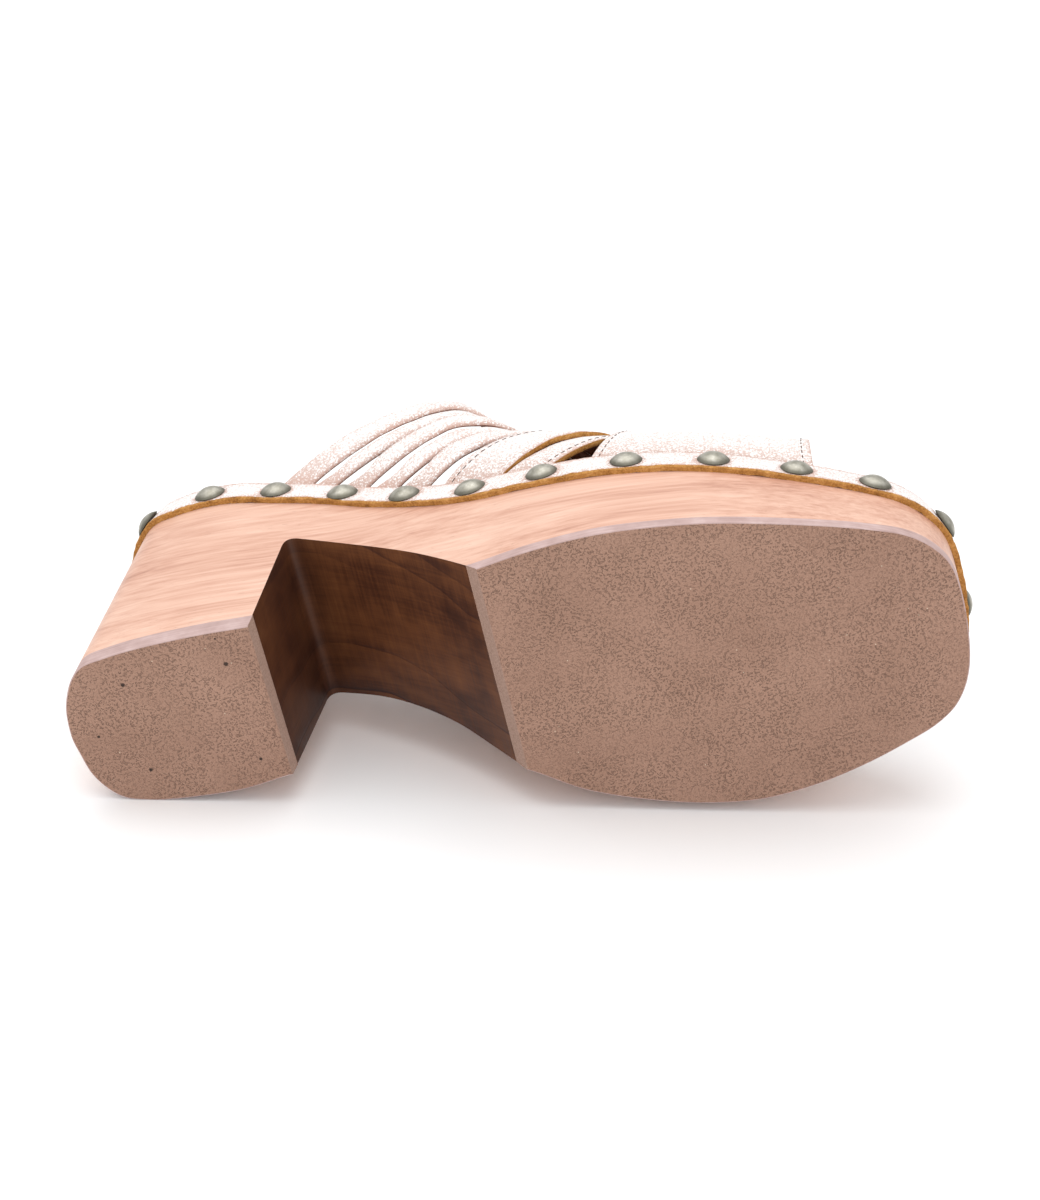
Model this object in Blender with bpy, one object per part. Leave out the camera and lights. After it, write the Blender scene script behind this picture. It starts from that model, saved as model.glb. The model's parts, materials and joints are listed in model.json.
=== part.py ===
"""Platform sandal with a wooden sole, for the right foot, lying on its inner side.

The shoe is modelled standing: X from heel to toe, Y to the inner side of the foot, Z up, with
the tread on the plane Z = 0. At the end an empty lays the finished pieces down on the inner side.
All sizes are in metres.
"""
import math

import bmesh
import bpy
import numpy as np
from mathutils import Matrix, Vector

# Driving sizes of the sole
SOLE_LENGTH = 0.2500
HEEL_WIDTH = 0.0525
BALL_WIDTH = 0.0930
HEEL_SIDE = 0.0705
BALL_SIDE = 0.0303
TOE_SPRING = 0.0035
SIDE_FLARE = 0.048
TOE_FLARE = -0.008
BACK_LEAN = 0.170
BREAST_LEAN = 0.175
ARCH_BOW = 0.0036
ARCH_FILLET = 0.0035
FILLET_SPREAD = 1.3
FILLET_CLEAR = 1.2
BED_DEPTH = 0.0040
BED_ROLL = 0.0200

# Sizes that follow from them
HEEL_TREAD_LENGTH = 0.23 * SOLE_LENGTH
FORE_TREAD_START = 0.49 * SOLE_LENGTH
SPRING_START = 0.80 * SOLE_LENGTH
LEAN_LENGTH = 0.30 * SOLE_LENGTH
BREAST_HEIGHT = 0.621 * HEEL_SIDE

# Driving sizes of the pieces on the sole
FORE_RUBBER = 0.0032
HEEL_RUBBER = 0.0052
SOCK_THICKNESS = 0.0016
SOCK_INSET = 0.0015
BAND_HEIGHT = 0.0125
RIM_LEAN = 0.10
RIM_ROUND = 7.0
BAND_THICKNESS = 0.0015
MARGIN_THICKNESS = 0.0020
MARGIN_LAP = 0.0085
STUD_DIAMETER = 0.0092
STUD_RISE = 0.0017
STUD_HEIGHT = 0.0056
STUD_STAND = 0.0005

# Driving sizes of the straps
STRAP_THICKNESS = 0.0017
STRAP_ROLL = 0.0007
STRAP_LAP = 0.0060
STRAP_START = 0.0002
PINCH_PLACE = 0.045
PINCH_REACH = 0.030
SWEEP_POWER = 1.15
INSTEP_RISE = 0.0555
WAIST_BULGE = 0.0075
DOME_POWER = 3.0
FORM_GIRTH = 0.150

# Gap between pieces that touch
GAP = 0.0003

# Weight of the materials in kilograms a cubic metre
WOOD_DENSITY = 560.0
RUBBER_DENSITY = 1050.0
LEATHER_DENSITY = 880.0
METAL_DENSITY = 3200.0

# Fineness of the meshes
OUTLINE_STEPS = 8
PROFILE_STEPS = 6
SIDE_STATIONS = 40
EDGE_ROUNDS = 8
RIM_POINTS = 160
PATH_POINTS = 240
ROW_POINTS = 8
FORM_POINTS = 81
ARCH_POINTS = 15
FILLET_POINTS = 6
STRAP_STATIONS = 26
STRAP_COLUMN = 0.009
STUD_SEGMENTS = 12
STUD_RINGS = 4

# How far the arch's cutter reaches below the tread
CUTTER_REACH = 0.010

# A face that the shoe can lie on looks at least this much to the inner side
INNER_FACING = 0.8

# Outline of the tread. along: share of SOLE_LENGTH. outer and inner: shares of the local width,
# which runs from HEEL_WIDTH to BALL_WIDTH through the waist.
#    along   outer   inner
OUTLINE = (
    (0.000, 0.000, 0.000),
    (0.003, -0.150, 0.112),
    (0.009, -0.242, 0.250),
    (0.021, -0.347, 0.354),
    (0.036, -0.413, 0.425),
    (0.063, -0.442, 0.470),
    (0.098, -0.463, 0.495),
    (0.170, -0.478, 0.507),
    (0.230, -0.474, 0.469),
    (0.300, -0.433, 0.411),
    (0.340, -0.398, 0.374),
    (0.380, -0.370, 0.358),
    (0.420, -0.350, 0.361),
    (0.450, -0.338, 0.383),
    (0.490, -0.332, 0.412),
    (0.550, -0.345, 0.503),
    (0.620, -0.359, 0.580),
    (0.680, -0.351, 0.624),
    (0.740, -0.331, 0.644),
    (0.800, -0.297, 0.628),
    (0.860, -0.254, 0.588),
    (0.910, -0.209, 0.542),
    (0.950, -0.161, 0.497),
    (0.975, -0.104, 0.443),
    (0.993, -0.026, 0.342),
    (1.000, 0.140, 0.140),
)
WAIST_BEGIN = 0.23
WAIST_END = 0.55

# Places of the studs along the outer side and round the toe, as shares of the band's whole length
# from the middle of its back. The rest follow on the inner side at an even pitch.
STUD_PLACES = (0.041, 0.079, 0.115, 0.153, 0.190, 0.226, 0.263, 0.304, 0.345, 0.384, 0.421, 0.461, 0.505)
INNER_STUDS = 13

# Height of the wood below the band. heel: share of HEEL_SIDE. ball: share of BALL_SIDE.
#    along  heel   ball
SIDE_PROFILE = (
    (0.00, 1.000, 0.000),
    (0.12, 0.998, 0.000),
    (0.17, 0.985, 0.000),
    (0.20, 0.960, 0.000),
    (0.25, 0.820, 0.190),
    (0.30, 0.690, 0.330),
    (0.36, 0.490, 0.515),
    (0.42, 0.310, 0.675),
    (0.48, 0.190, 0.775),
    (0.54, 0.110, 0.845),
    (0.60, 0.055, 0.900),
    (0.68, 0.000, 0.985),
    (0.76, 0.000, 0.920),
    (0.84, 0.000, 0.815),
    (0.92, 0.000, 0.715),
    (1.00, 0.000, 0.625),
)

# The form that the straps lie on. rise: height of its ridge over the band, share of INSTEP_RISE.
# bulge: how far it stands out past the sole at each side, share of WAIST_BULGE.
#    along  rise   bulge
DOME = (
    (0.22, 1.500, 0.60),
    (0.36, 1.350, 1.00),
    (0.44, 1.190, 1.00),
    (0.49, 0.960, 0.72),
    (0.53, 0.775, 0.40),
    (0.59, 0.640, 0.18),
    (0.68, 0.540, 0.08),
    (0.77, 0.505, 0.18),
    (0.86, 0.480, 0.35),
    (0.92, 0.470, 0.35),
)

# Straps. Both edges as shares of SOLE_LENGTH, at the band and on the ridge; level: how many
# strap thicknesses the strap lies over the form; ease: share of the girth in which it climbs there;
# pinch: share of its width by which its rear edge is drawn in close above the band.
#    name           rear at band  front at band  rear on ridge  front on ridge  level  ease  pinch
STRAPS = (
    ("instep_strap", 0.239, 0.275, 0.492, 0.538, 1.00, 0.15, 0.0),
    ("strap_two", 0.278, 0.305, 0.536, 0.574, 0.35, 0.15, 0.3),
    ("strap_three", 0.313, 0.345, 0.572, 0.608, 0.85, 0.15, 0.3),
    ("strap_four", 0.352, 0.383, 0.606, 0.638, 0.10, 0.15, 0.3),
    ("strap_five", 0.386, 0.421, 0.636, 0.672, 0.60, 0.15, 0.2),
    ("wide_strap", 0.440, 0.510, 0.662, 0.743, 1.00, 0.12, 0.0),
    ("under_strap", 0.512, 0.567, 0.738, 0.788, 0.00, 0.15, 0.0),
    ("toe_strap", 0.616, 0.863, 0.694, 0.856, 1.80, 0.30, 0.0),
)


def smooth(t):
    """Ease from 0 to 1 with level ends."""
    t = np.clip(t, 0.0, 1.0)
    return t * t * (3.0 - 2.0 * t)


def through(points, spans, steps):
    """Smooth line through the points, cut into steps for each span in the range spans."""
    points = np.array(points, float)
    chords = np.sqrt(np.linalg.norm(np.diff(points, axis=0), axis=1))
    knots = np.concatenate(([0.0], np.cumsum(chords)))
    slopes = np.gradient(points, knots, axis=0)
    line = []
    for i in spans:
        reach = knots[i + 1] - knots[i]
        for t in np.arange(steps) / steps:
            near = points[i] * (1 + 2 * t) * (1 - t) ** 2 + slopes[i] * reach * t * (1 - t) ** 2
            far = points[i + 1] * t * t * (3 - 2 * t) + slopes[i + 1] * reach * t * t * (t - 1)
            line.append(near + far)
    line.append(points[spans[-1] + 1])
    return np.array(line)


def tread_outline():
    """Closed outline of the tread as two lines of x, y and outward normal, heel back to toe."""
    rows = np.array(OUTLINE)
    waist = smooth((rows[:, 0] - WAIST_BEGIN) / (WAIST_END - WAIST_BEGIN))
    width = HEEL_WIDTH + (BALL_WIDTH - HEEL_WIDTH) * waist
    outer = np.column_stack((rows[:, 0] * SOLE_LENGTH, rows[:, 1] * width))
    inner = np.column_stack((rows[:, 0] * SOLE_LENGTH, rows[:, 2] * width))
    loop = np.concatenate((outer, inner[-2:0:-1]))
    padded = np.concatenate((loop[-3:], loop, loop[:4]))
    line = through(padded, range(3, 3 + len(loop)), OUTLINE_STEPS)
    run = np.gradient(np.concatenate((line[-2:-1], line, line[1:2])), axis=0)[1:-1]
    run /= np.linalg.norm(run, axis=1)[:, None]
    table = np.column_stack((line, run[:, 1], -run[:, 0]))
    turn = OUTLINE_STEPS * (len(OUTLINE) - 1)
    return table[: turn + 1], table[turn:][::-1]


OUTER, INNER = tread_outline()
SIDES = {"outer": OUTER, "inner": INNER}


def tread_z(x):
    """Height of the tread, which lifts at the toe."""
    return TOE_SPRING * np.maximum((x - SPRING_START) / (SOLE_LENGTH - SPRING_START), 0) ** 2


def side_height(x):
    """Height of the band's lower edge at a length along the sole."""
    rows = np.array(SIDE_PROFILE)
    line = through(np.column_stack((rows[:, 0], rows[:, 1] * HEEL_SIDE + rows[:, 2] * BALL_SIDE)),
                   range(len(rows) - 1), PROFILE_STEPS)
    return np.interp(x / SOLE_LENGTH, line[:, 0], line[:, 1])


def wall(side, x, z, out=0.0):
    """Points on the sole's side at stations x of the tread, height z, moved outwards by out."""
    line = SIDES[side]
    y, nx, ny = (np.interp(x, line[:, 0], line[:, k]) for k in (1, 2, 3))
    fade = 1 - smooth(x / LEAN_LENGTH)
    flare = SIDE_FLARE + (TOE_FLARE - SIDE_FLARE) * smooth((x / SOLE_LENGTH - 0.5) / 0.5)
    far_x = x + (BACK_LEAN + SIDE_FLARE) * fade * z + nx * (flare * z + out)
    far_y = y + ny * (flare * z + out)
    return np.column_stack((far_x, far_y, z * np.ones_like(x)))


def edge(side, x, over, out=0.0):
    """Points on the sole's side at a height over above the band's lower edge."""
    z = side_height(x)
    for _ in range(EDGE_ROUNDS):
        z = side_height(wall(side, x, z)[:, 0])
    return wall(side, x, z + over, out - RIM_LEAN * over - RIM_ROUND * over ** 2)


def stations(x_from, x_to, count=SIDE_STATIONS):
    """Lengths along the sole, closer together at both ends."""
    share = (1 - np.cos(np.linspace(0, math.pi, count + 1))) / 2
    return x_from + (x_to - x_from) * share


def new_object(name, mesh, material):
    """Link a mesh to the sandal's collection with its material."""
    mesh.materials.append(material)
    thing = bpy.data.objects.new(name, mesh)
    sandal.objects.link(thing)
    return thing


def finish_mesh(name, work):
    """Turn a closed bmesh into a mesh with faces pointing out."""
    bmesh.ops.remove_doubles(work, verts=work.verts, dist=2e-6)
    bmesh.ops.dissolve_degenerate(work, dist=1e-7, edges=work.edges)
    bmesh.ops.triangulate(work, faces=work.faces)
    bmesh.ops.recalc_face_normals(work, faces=work.faces)
    mesh = bpy.data.meshes.new(name)
    work.to_mesh(mesh)
    work.free()
    return mesh


def stack(name, rings, floor_z, top_z):
    """Closed solid from rings, lowest first. A ring is the outer and the inner side's points.

    floor_z and top_z give the height of the two caps between their edges.
    """
    work = bmesh.new()
    loops = []
    for outer, inner in rings:
        ring = np.concatenate((outer, inner[::-1]))
        loops.append([work.verts.new(p) for p in ring])
    half = len(rings[0][0])
    for low, high in zip(loops, loops[1:]):
        for i in range(2 * half - 1):
            if i != half - 1:
                work.faces.new((low[i], low[i + 1], high[i + 1], high[i]))
    across = (1 - np.cos(np.linspace(0, math.pi, ROW_POINTS + 1))) / 2
    caps = []
    for (outer, inner), loop, height in ((rings[0], loops[0], floor_z), (rings[-1], loops[-1], top_z)):
        rows = []
        for i in range(half):
            row = [loop[i]]
            for share in across[1:-1]:
                x, y, _ = outer[i] + (inner[i] - outer[i]) * share
                row.append(work.verts.new((x, y, height(x, y))))
            row.append(loop[2 * half - 1 - i])
            rows.append(row)
        for near, far in zip(rows, rows[1:]):
            for k in range(ROW_POINTS):
                work.faces.new((near[k], near[k + 1], far[k + 1], far[k]))
        caps.append(rows)
    for end in (0, -1):
        low, high = caps[0][end], caps[1][end]
        if (low[0].co - low[-1].co).length > GAP:
            for k in range(ROW_POINTS):
                work.faces.new((low[k], low[k + 1], high[k + 1], high[k]))
    return finish_mesh(name, work)


def belt(name, inside, outside, low, high):
    """Closed band round the whole sole, between two offsets from its side and two heights."""
    middle = (low + high) / 2
    x = stations(0.0, SOLE_LENGTH)
    work = bmesh.new()
    corners = []
    for out, over in ((inside, low), (outside, low), (outside, middle), (outside, high),
                      (inside, high), (inside, middle)):
        outer = edge("outer", x, over, out)
        inner = edge("inner", x, over, out)
        ring = np.concatenate((outer, inner[-2:0:-1]))
        corners.append([work.verts.new(p) for p in ring])
    count = len(corners[0])
    for k in range(len(corners)):
        here, there = corners[k], corners[(k + 1) % len(corners)]
        for i in range(count):
            j = (i + 1) % count
            work.faces.new((here[i], here[j], there[j], there[i]))
    return finish_mesh(name, work)


def side_prism(name, profile, half_width):
    """Cutter: a profile of x and z pushed through the shoe from side to side."""
    work = bmesh.new()
    faces = []
    for y in (-half_width, half_width):
        faces.append([work.verts.new((x, y, z)) for x, z in profile])
    work.faces.new(faces[0])
    work.faces.new(faces[1][::-1])
    for i in range(len(profile)):
        j = (i + 1) % len(profile)
        work.faces.new((faces[0][i], faces[0][j], faces[1][j], faces[1][i]))
    bmesh.ops.recalc_face_normals(work, faces=work.faces)
    mesh = bpy.data.meshes.new(name)
    work.to_mesh(mesh)
    work.free()
    cutter = bpy.data.objects.new(name, mesh)
    cutter.hide_render = True
    cutter.display_type = "WIRE"
    cutters.objects.link(cutter)
    return cutter


def use_boolean(thing, other, operation):
    """Cut from, or join to, a piece with another object."""
    step = thing.modifiers.new(operation.lower() + "_" + other.name, "BOOLEAN")
    step.operation = operation
    step.solver = "EXACT"
    step.object = other


def arch_profile():
    """Side view of the gap under the waist: the heel's breast, a fillet and the arch's curve."""
    corner = np.array((HEEL_TREAD_LENGTH + BREAST_LEAN * BREAST_HEIGHT, BREAST_HEIGHT))
    foot = np.array((FORE_TREAD_START, 0.0))
    chord = foot - corner
    span = np.linalg.norm(chord)
    lift = np.array((-chord[1], chord[0])) / span
    radius = (span ** 2 / 4 + ARCH_BOW ** 2) / (2 * ARCH_BOW)
    middle = corner + chord / 2 + lift * (ARCH_BOW - radius)
    start = math.atan2(*(corner - middle)[::-1])
    end = math.atan2(*(foot - middle)[::-1])
    curve = [middle + radius * np.array((math.cos(a), math.sin(a)))
             for a in np.linspace(start, end, ARCH_POINTS)]
    reach = ARCH_FILLET * FILLET_SPREAD
    down = np.array((BREAST_LEAN, 1.0)) / math.hypot(BREAST_LEAN, 1.0)
    along = (curve[1] - corner) / np.linalg.norm(curve[1] - corner)
    fillet = [corner - down * reach * (1 - t) ** 2 + along * reach * t ** 2
              for t in np.linspace(0, 1, FILLET_POINTS)]
    beyond = foot + (foot - curve[-2]) / (curve[-2] - foot)[1] * CUTTER_REACH
    rest = [p for p in curve[1:] if np.linalg.norm(p - corner) > reach * FILLET_CLEAR]
    base = (HEEL_TREAD_LENGTH - BREAST_LEAN * CUTTER_REACH, -CUTTER_REACH)
    return [base] + [tuple(p) for p in fillet + rest] + [tuple(beyond)]


def distance_to_rim(x, y):
    """Distance in plan from a point to the wood's upper edge."""
    return np.min(np.hypot(RIM_LOOP[:, 0] - x, RIM_LOOP[:, 1] - y))


def bed_z(x, y):
    """Height of the hollowed top of the wood."""
    return side_height(x) + BAND_HEIGHT - BED_DEPTH * smooth(distance_to_rim(x, y) / BED_ROLL)


def wood_floor_z(x, y):
    """Height of the wood's underside over the two rubber treads."""
    middle = (HEEL_TREAD_LENGTH + FORE_TREAD_START) / 2
    return (HEEL_RUBBER if x < middle else FORE_RUBBER) + GAP + tread_z(x)


def make_wood():
    """Platform and heel in one piece of wood, hollowed on top and cut out under the waist."""
    x = stations(0.0, SOLE_LENGTH)
    floor = np.array([wood_floor_z(value, 0.0) for value in x])
    ledge = BAND_HEIGHT - MARGIN_LAP - GAP
    rings = [tuple(wall(side, x, floor) for side in SIDES)]
    middle = (BAND_HEIGHT - MARGIN_LAP + BAND_HEIGHT) / 2
    for over, out in ((0.0, 0.0), (ledge, 0.0), (ledge, -REBATE), (middle, -REBATE),
                      (BAND_HEIGHT, -REBATE)):
        rings.append(tuple(edge(side, x, over, out) for side in SIDES))
    wood = new_object("sole_wood", stack("sole_wood", rings, wood_floor_z, bed_z), wood_finish)
    use_boolean(wood, side_prism("arch_cut", arch_profile(), BALL_WIDTH), "DIFFERENCE")
    return wood


def make_heel_rubber():
    """Top piece of the heel, ending in line with the breast."""
    rings = []
    for z in (0.0, HEEL_RUBBER):
        x = stations(0.0, HEEL_TREAD_LENGTH + BREAST_LEAN * z, SIDE_STATIONS // 2)
        rings.append(tuple(wall(side, x, z * np.ones_like(x)) for side in SIDES))
    mesh = stack("outsole_heel", rings, lambda x, y: 0.0, lambda x, y: HEEL_RUBBER)
    return new_object("outsole_heel", mesh, rubber_finish)


def make_fore_rubber():
    """Rubber sheet under the forefoot, its rear edge ground in line with the arch."""
    profile = arch_profile()
    slope = (profile[-2][0] - profile[-1][0]) / (profile[-2][1] - profile[-1][1])
    rings = []
    for z in (0.0, FORE_RUBBER):
        x = stations(FORE_TREAD_START + slope * z, SOLE_LENGTH)
        rings.append(tuple(wall(side, x, z + tread_z(x)) for side in SIDES))
    mesh = stack("outsole_forefoot", rings, lambda x, y: float(tread_z(x)),
                 lambda x, y: float(tread_z(x)) + FORE_RUBBER)
    return new_object("outsole_forefoot", mesh, rubber_finish)


def make_sock():
    """Leather sock on the hollowed wood."""
    x = stations(0.0, SOLE_LENGTH)
    rings = []
    for rise in (GAP, GAP + SOCK_THICKNESS):
        ring = []
        for side in SIDES:
            line = edge(side, x, BAND_HEIGHT, -REBATE - SOCK_INSET)
            line[:, 2] = [bed_z(px, py) + rise for px, py, _ in line]
            ring.append(line)
        rings.append(tuple(ring))
    mesh = stack("insole", rings, lambda px, py: bed_z(px, py) + GAP,
                 lambda px, py: bed_z(px, py) + GAP + SOCK_THICKNESS)
    return new_object("insole", mesh, sock_finish)


def dome_section(x):
    """Cross-section of the form at a length x: girth from the outer band to the inner band."""
    rows = np.array(DOME)
    rise = np.interp(x / SOLE_LENGTH, rows[:, 0], rows[:, 1]) * INSTEP_RISE
    bulge = np.interp(x / SOLE_LENGTH, rows[:, 0], rows[:, 2]) * WAIST_BULGE
    ends = [[np.interp(x, RIMS[side][:, 0], RIMS[side][:, k]) for k in (1, 2)] for side in SIDES]
    middle = (ends[0][0] + ends[1][0]) / 2
    half = (ends[1][0] - ends[0][0]) / 2
    turn = np.linspace(0, math.pi, FORM_POINTS)
    up = np.sin(turn).clip(0) ** (2 / DOME_POWER)
    side = np.sign(np.cos(turn)) * np.abs(np.cos(turn)) ** (2 / DOME_POWER)
    y = middle - (half + bulge * (1 - (1 - up) ** 4)) * side
    return y, ends[0][1] + rise * up


def dome_point(x, share):
    """Point of the form at a share of its girth. Below 0 and over 1 it runs down inside the band."""
    y, z = dome_section(x)
    girth = np.concatenate(([0.0], np.cumsum(np.hypot(np.diff(y), np.diff(z)))))
    place = share * girth[-1]
    inside = np.clip(place, 0, girth[-1])
    drop = abs(inside - place)
    under = BAND_HEIGHT - drop
    tuck = SIDE_FLARE * drop - RIM_LEAN * drop - RIM_ROUND * (BAND_HEIGHT ** 2 - under ** 2)
    tuck *= 1 if share < 0.5 else -1
    return np.array((x, np.interp(inside, girth, y) + tuck, np.interp(inside, girth, z) - drop))


def pinch(share):
    """How far a strap is drawn in, close above the band at either end."""
    return math.exp(-((min(share, 1 - share) - PINCH_PLACE) / PINCH_REACH) ** 2)


def strap_mesh(name, rear_low, front_low, rear_top, front_top, level, ease, drawn):
    """One strap from band to band over the form, as a closed solid with rounded edges."""
    width = (front_low - rear_low) * SOLE_LENGTH
    columns = max(3, 1 + int(math.ceil(width / STRAP_COLUMN)))
    lap = STRAP_LAP / FORM_GIRTH
    turns = np.linspace(0, 1, STRAP_STATIONS + 1)
    shares = np.concatenate(([-lap, -lap / 2], turns, [1 + lap / 2, 1 + lap]))
    grid = np.zeros((len(shares), columns, 3))
    for i, share in enumerate(shares):
        sweep = math.sin(math.pi * min(max(share, 0.0), 1.0)) ** SWEEP_POWER
        rear = (rear_low + (rear_top - rear_low) * sweep) * SOLE_LENGTH
        rear += drawn * width * pinch(share)
        front = (front_low + (front_top - front_low) * sweep) * SOLE_LENGTH
        for j in range(columns):
            grid[i, j] = dome_point(rear + (front - rear) * j / (columns - 1), share)
    across = np.gradient(grid, axis=1)
    around = np.gradient(grid, axis=0)
    normals = np.cross(across, around)
    normals /= np.linalg.norm(normals, axis=2)[:, :, None]
    work = bmesh.new()
    rings = []
    for i, share in enumerate(shares):
        clear = smooth(min(share, 1 - share) / ease)
        lift = STRAP_START + level * STRAP_THICKNESS * clear
        ring = []
        for j in range(columns):
            ring.append(grid[i, j] + normals[i, j] * lift)
        for j in range(columns - 1, -1, -1):
            ends = j in (0, columns - 1)
            thick = STRAP_THICKNESS - (STRAP_ROLL if ends else 0.0)
            ring.append(grid[i, j] + normals[i, j] * (lift + thick))
        rings.append([work.verts.new(p) for p in ring])
    for near, far in zip(rings, rings[1:]):
        for k in range(len(near)):
            m = (k + 1) % len(near)
            work.faces.new((near[k], near[m], far[m], far[k]))
    work.faces.new(rings[0])
    work.faces.new(rings[-1][::-1])
    return finish_mesh(name, work)


def make_upper():
    """Lasting margin in the wood's rebate with the straps that rise from it, as one hollow piece."""
    margin = belt("upper", -MARGIN_THICKNESS, 0.0, BAND_HEIGHT - MARGIN_LAP, BAND_HEIGHT)
    upper = new_object("upper", margin, leather_finish)
    for row in STRAPS:
        piece = bpy.data.objects.new(row[0], strap_mesh(*row))
        piece.hide_render = True
        piece.display_type = "WIRE"
        cutters.objects.link(piece)
        use_boolean(upper, piece, "UNION")
    return upper


def make_band():
    """Leather band nailed round the sole's upper edge."""
    mesh = belt("rand_band", GAP, GAP + BAND_THICKNESS, 0.0, BAND_HEIGHT)
    return new_object("rand_band", mesh, leather_finish)


def stud_mesh():
    """Low dome of a nail head, part of a ball, flat underneath, along its own Z."""
    half = STUD_DIAMETER / 2
    ball = (half ** 2 + STUD_RISE ** 2) / (2 * STUD_RISE)
    spread = math.asin(half / ball)
    work = bmesh.new()
    rings = []
    for k in range(STUD_RINGS):
        tilt = spread * (1 - k / STUD_RINGS)
        turns = [2 * math.pi * i / STUD_SEGMENTS for i in range(STUD_SEGMENTS)]
        rings.append([work.verts.new((ball * math.sin(tilt) * math.cos(a),
                                      ball * math.sin(tilt) * math.sin(a),
                                      ball * math.cos(tilt) - ball + STUD_RISE)) for a in turns])
    top = work.verts.new((0.0, 0.0, STUD_RISE))
    work.faces.new(rings[0])
    for i in range(STUD_SEGMENTS):
        j = (i + 1) % STUD_SEGMENTS
        for low, high in zip(rings, rings[1:]):
            work.faces.new((low[i], low[j], high[j], high[i]))
        work.faces.new((rings[-1][i], rings[-1][j], top))
    return finish_mesh("stud", work)


def make_studs():
    """Dome studs round the band, evenly over the inner side and by the table elsewhere."""
    x = stations(0.0, SOLE_LENGTH, PATH_POINTS)
    out = GAP + BAND_THICKNESS + STUD_STAND
    lines = []
    for over in (STUD_HEIGHT, STUD_HEIGHT + GAP):
        outer, inner = (edge(side, x, over, out) for side in SIDES)
        lines.append(np.concatenate((outer, inner[-2::-1])))
    path = lines[0]
    facing = np.cross(np.gradient(path, axis=0), lines[1] - path)
    facing /= np.linalg.norm(facing, axis=1)[:, None]
    length = np.concatenate(([0.0], np.cumsum(np.linalg.norm(np.diff(path, axis=0), axis=1))))
    rest = np.linspace(STUD_PLACES[-1], 1.0 + STUD_PLACES[0], INNER_STUDS + 2)[1:-1] % 1.0
    seats = []
    for place in np.concatenate((STUD_PLACES, rest)) * length[-1]:
        seats.append([Vector([np.interp(place, length, line[:, k]) for k in range(3)])
                      for line in (path, facing)])
    mesh = stud_mesh()
    mesh.materials.append(stud_finish)
    studs = []
    for i, (point, out_way) in enumerate(seats):
        stud = bpy.data.objects.new("stud_%02d" % (i + 1), mesh)
        stud.location = point
        stud.rotation_euler = out_way.to_track_quat("Z", "Y").to_euler()
        sandal.objects.link(stud)
        studs.append(stud)
    return studs


def finish(name, colour, roughness, metallic=0.0):
    """Principled material with one colour."""
    material = bpy.data.materials.new(name)
    material.use_nodes = True
    shader = material.node_tree.nodes["Principled BSDF"]
    shader.inputs["Base Color"].default_value = (*colour, 1.0)
    shader.inputs["Roughness"].default_value = roughness
    shader.inputs["Metallic"].default_value = metallic
    return material


def solid_facts(thing, density):
    """Corner points, mass and mass centre of a finished piece."""
    shape = thing.evaluated_get(bpy.context.evaluated_depsgraph_get())
    mesh = shape.to_mesh()
    mesh.calc_loop_triangles()
    points = np.array([thing.matrix_world @ v.co for v in mesh.vertices])
    a, b, c = (points[[t.vertices[k] for t in mesh.loop_triangles]] for k in range(3))
    volumes = np.einsum("ij,ij->i", a, np.cross(b, c)) / 6
    mass = volumes.sum() * density
    centre = ((a + b + c) / 4 * volumes[:, None]).sum(axis=0) / volumes.sum()
    shape.to_mesh_clear()
    return points, mass, centre


def lying_turn(pieces):
    """Rotation that lays the shoe on its inner side, on the three points that carry it."""
    points = []
    total = 0.0
    moment = np.zeros(3)
    for thing, density in pieces:
        corners, mass, centre = solid_facts(thing, density)
        points.append(corners)
        total += mass
        moment += mass * centre
    centre = Vector(moment / total)
    work = bmesh.new()
    for p in np.concatenate(points):
        work.verts.new(p)
    hull = bmesh.ops.convex_hull(work, input=work.verts)
    faces = [f for f in hull["geom"] if isinstance(f, bmesh.types.BMFace)]
    best = None
    for face in faces:
        face.normal_update()
        normal = face.normal
        corner = face.verts[0].co
        if normal.dot(centre - corner) > 0:
            normal = -normal
        if normal.y < INNER_FACING:
            continue
        reach = (corner - centre).dot(normal)
        landing = centre + normal * reach
        inside = min((face.verts[(k + 1) % 3].co - face.verts[k].co).cross(
            landing - face.verts[k].co).dot(face.normal) for k in range(3))
        if best is None or inside > best[0]:
            best = (inside, normal.copy())
    work.free()
    up = -best[1]
    ahead = up.cross(Vector((0, 0, 1))).normalized() * -1
    away = up.cross(ahead)
    turn = Matrix((ahead, away, up))
    cloud = np.concatenate(points) @ np.array(turn).T
    low, high = cloud.min(axis=0), cloud.max(axis=0)
    drop = Vector((-(low[0] + high[0]) / 2, -(low[1] + high[1]) / 2, -low[2]))
    return Matrix.Translation(drop) @ turn.to_4x4()


for old in list(bpy.data.objects):
    bpy.data.objects.remove(old, do_unlink=True)
sandal = bpy.data.collections.new("platform_sandal")
cutters = bpy.data.collections.new("cutters")
bpy.context.scene.collection.children.link(sandal)
bpy.context.scene.collection.children.link(cutters)

wood_finish = finish("wood", (0.70, 0.42, 0.28), 0.45)
rubber_finish = finish("rubber", (0.27, 0.19, 0.15), 0.85)
leather_finish = finish("leather", (0.82, 0.78, 0.75), 0.55)
sock_finish = finish("sock_leather", (0.35, 0.20, 0.13), 0.60)
stud_finish = finish("pewter", (0.36, 0.35, 0.28), 0.35, 1.0)

REBATE = MARGIN_THICKNESS + GAP
RIM_STATIONS = stations(0.0, SOLE_LENGTH, RIM_POINTS)
RIMS = {side: edge(side, RIM_STATIONS, BAND_HEIGHT, -MARGIN_THICKNESS) for side in SIDES}
RIM_LOOP = np.concatenate([edge(side, RIM_STATIONS, BAND_HEIGHT, -REBATE) for side in SIDES])

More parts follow.
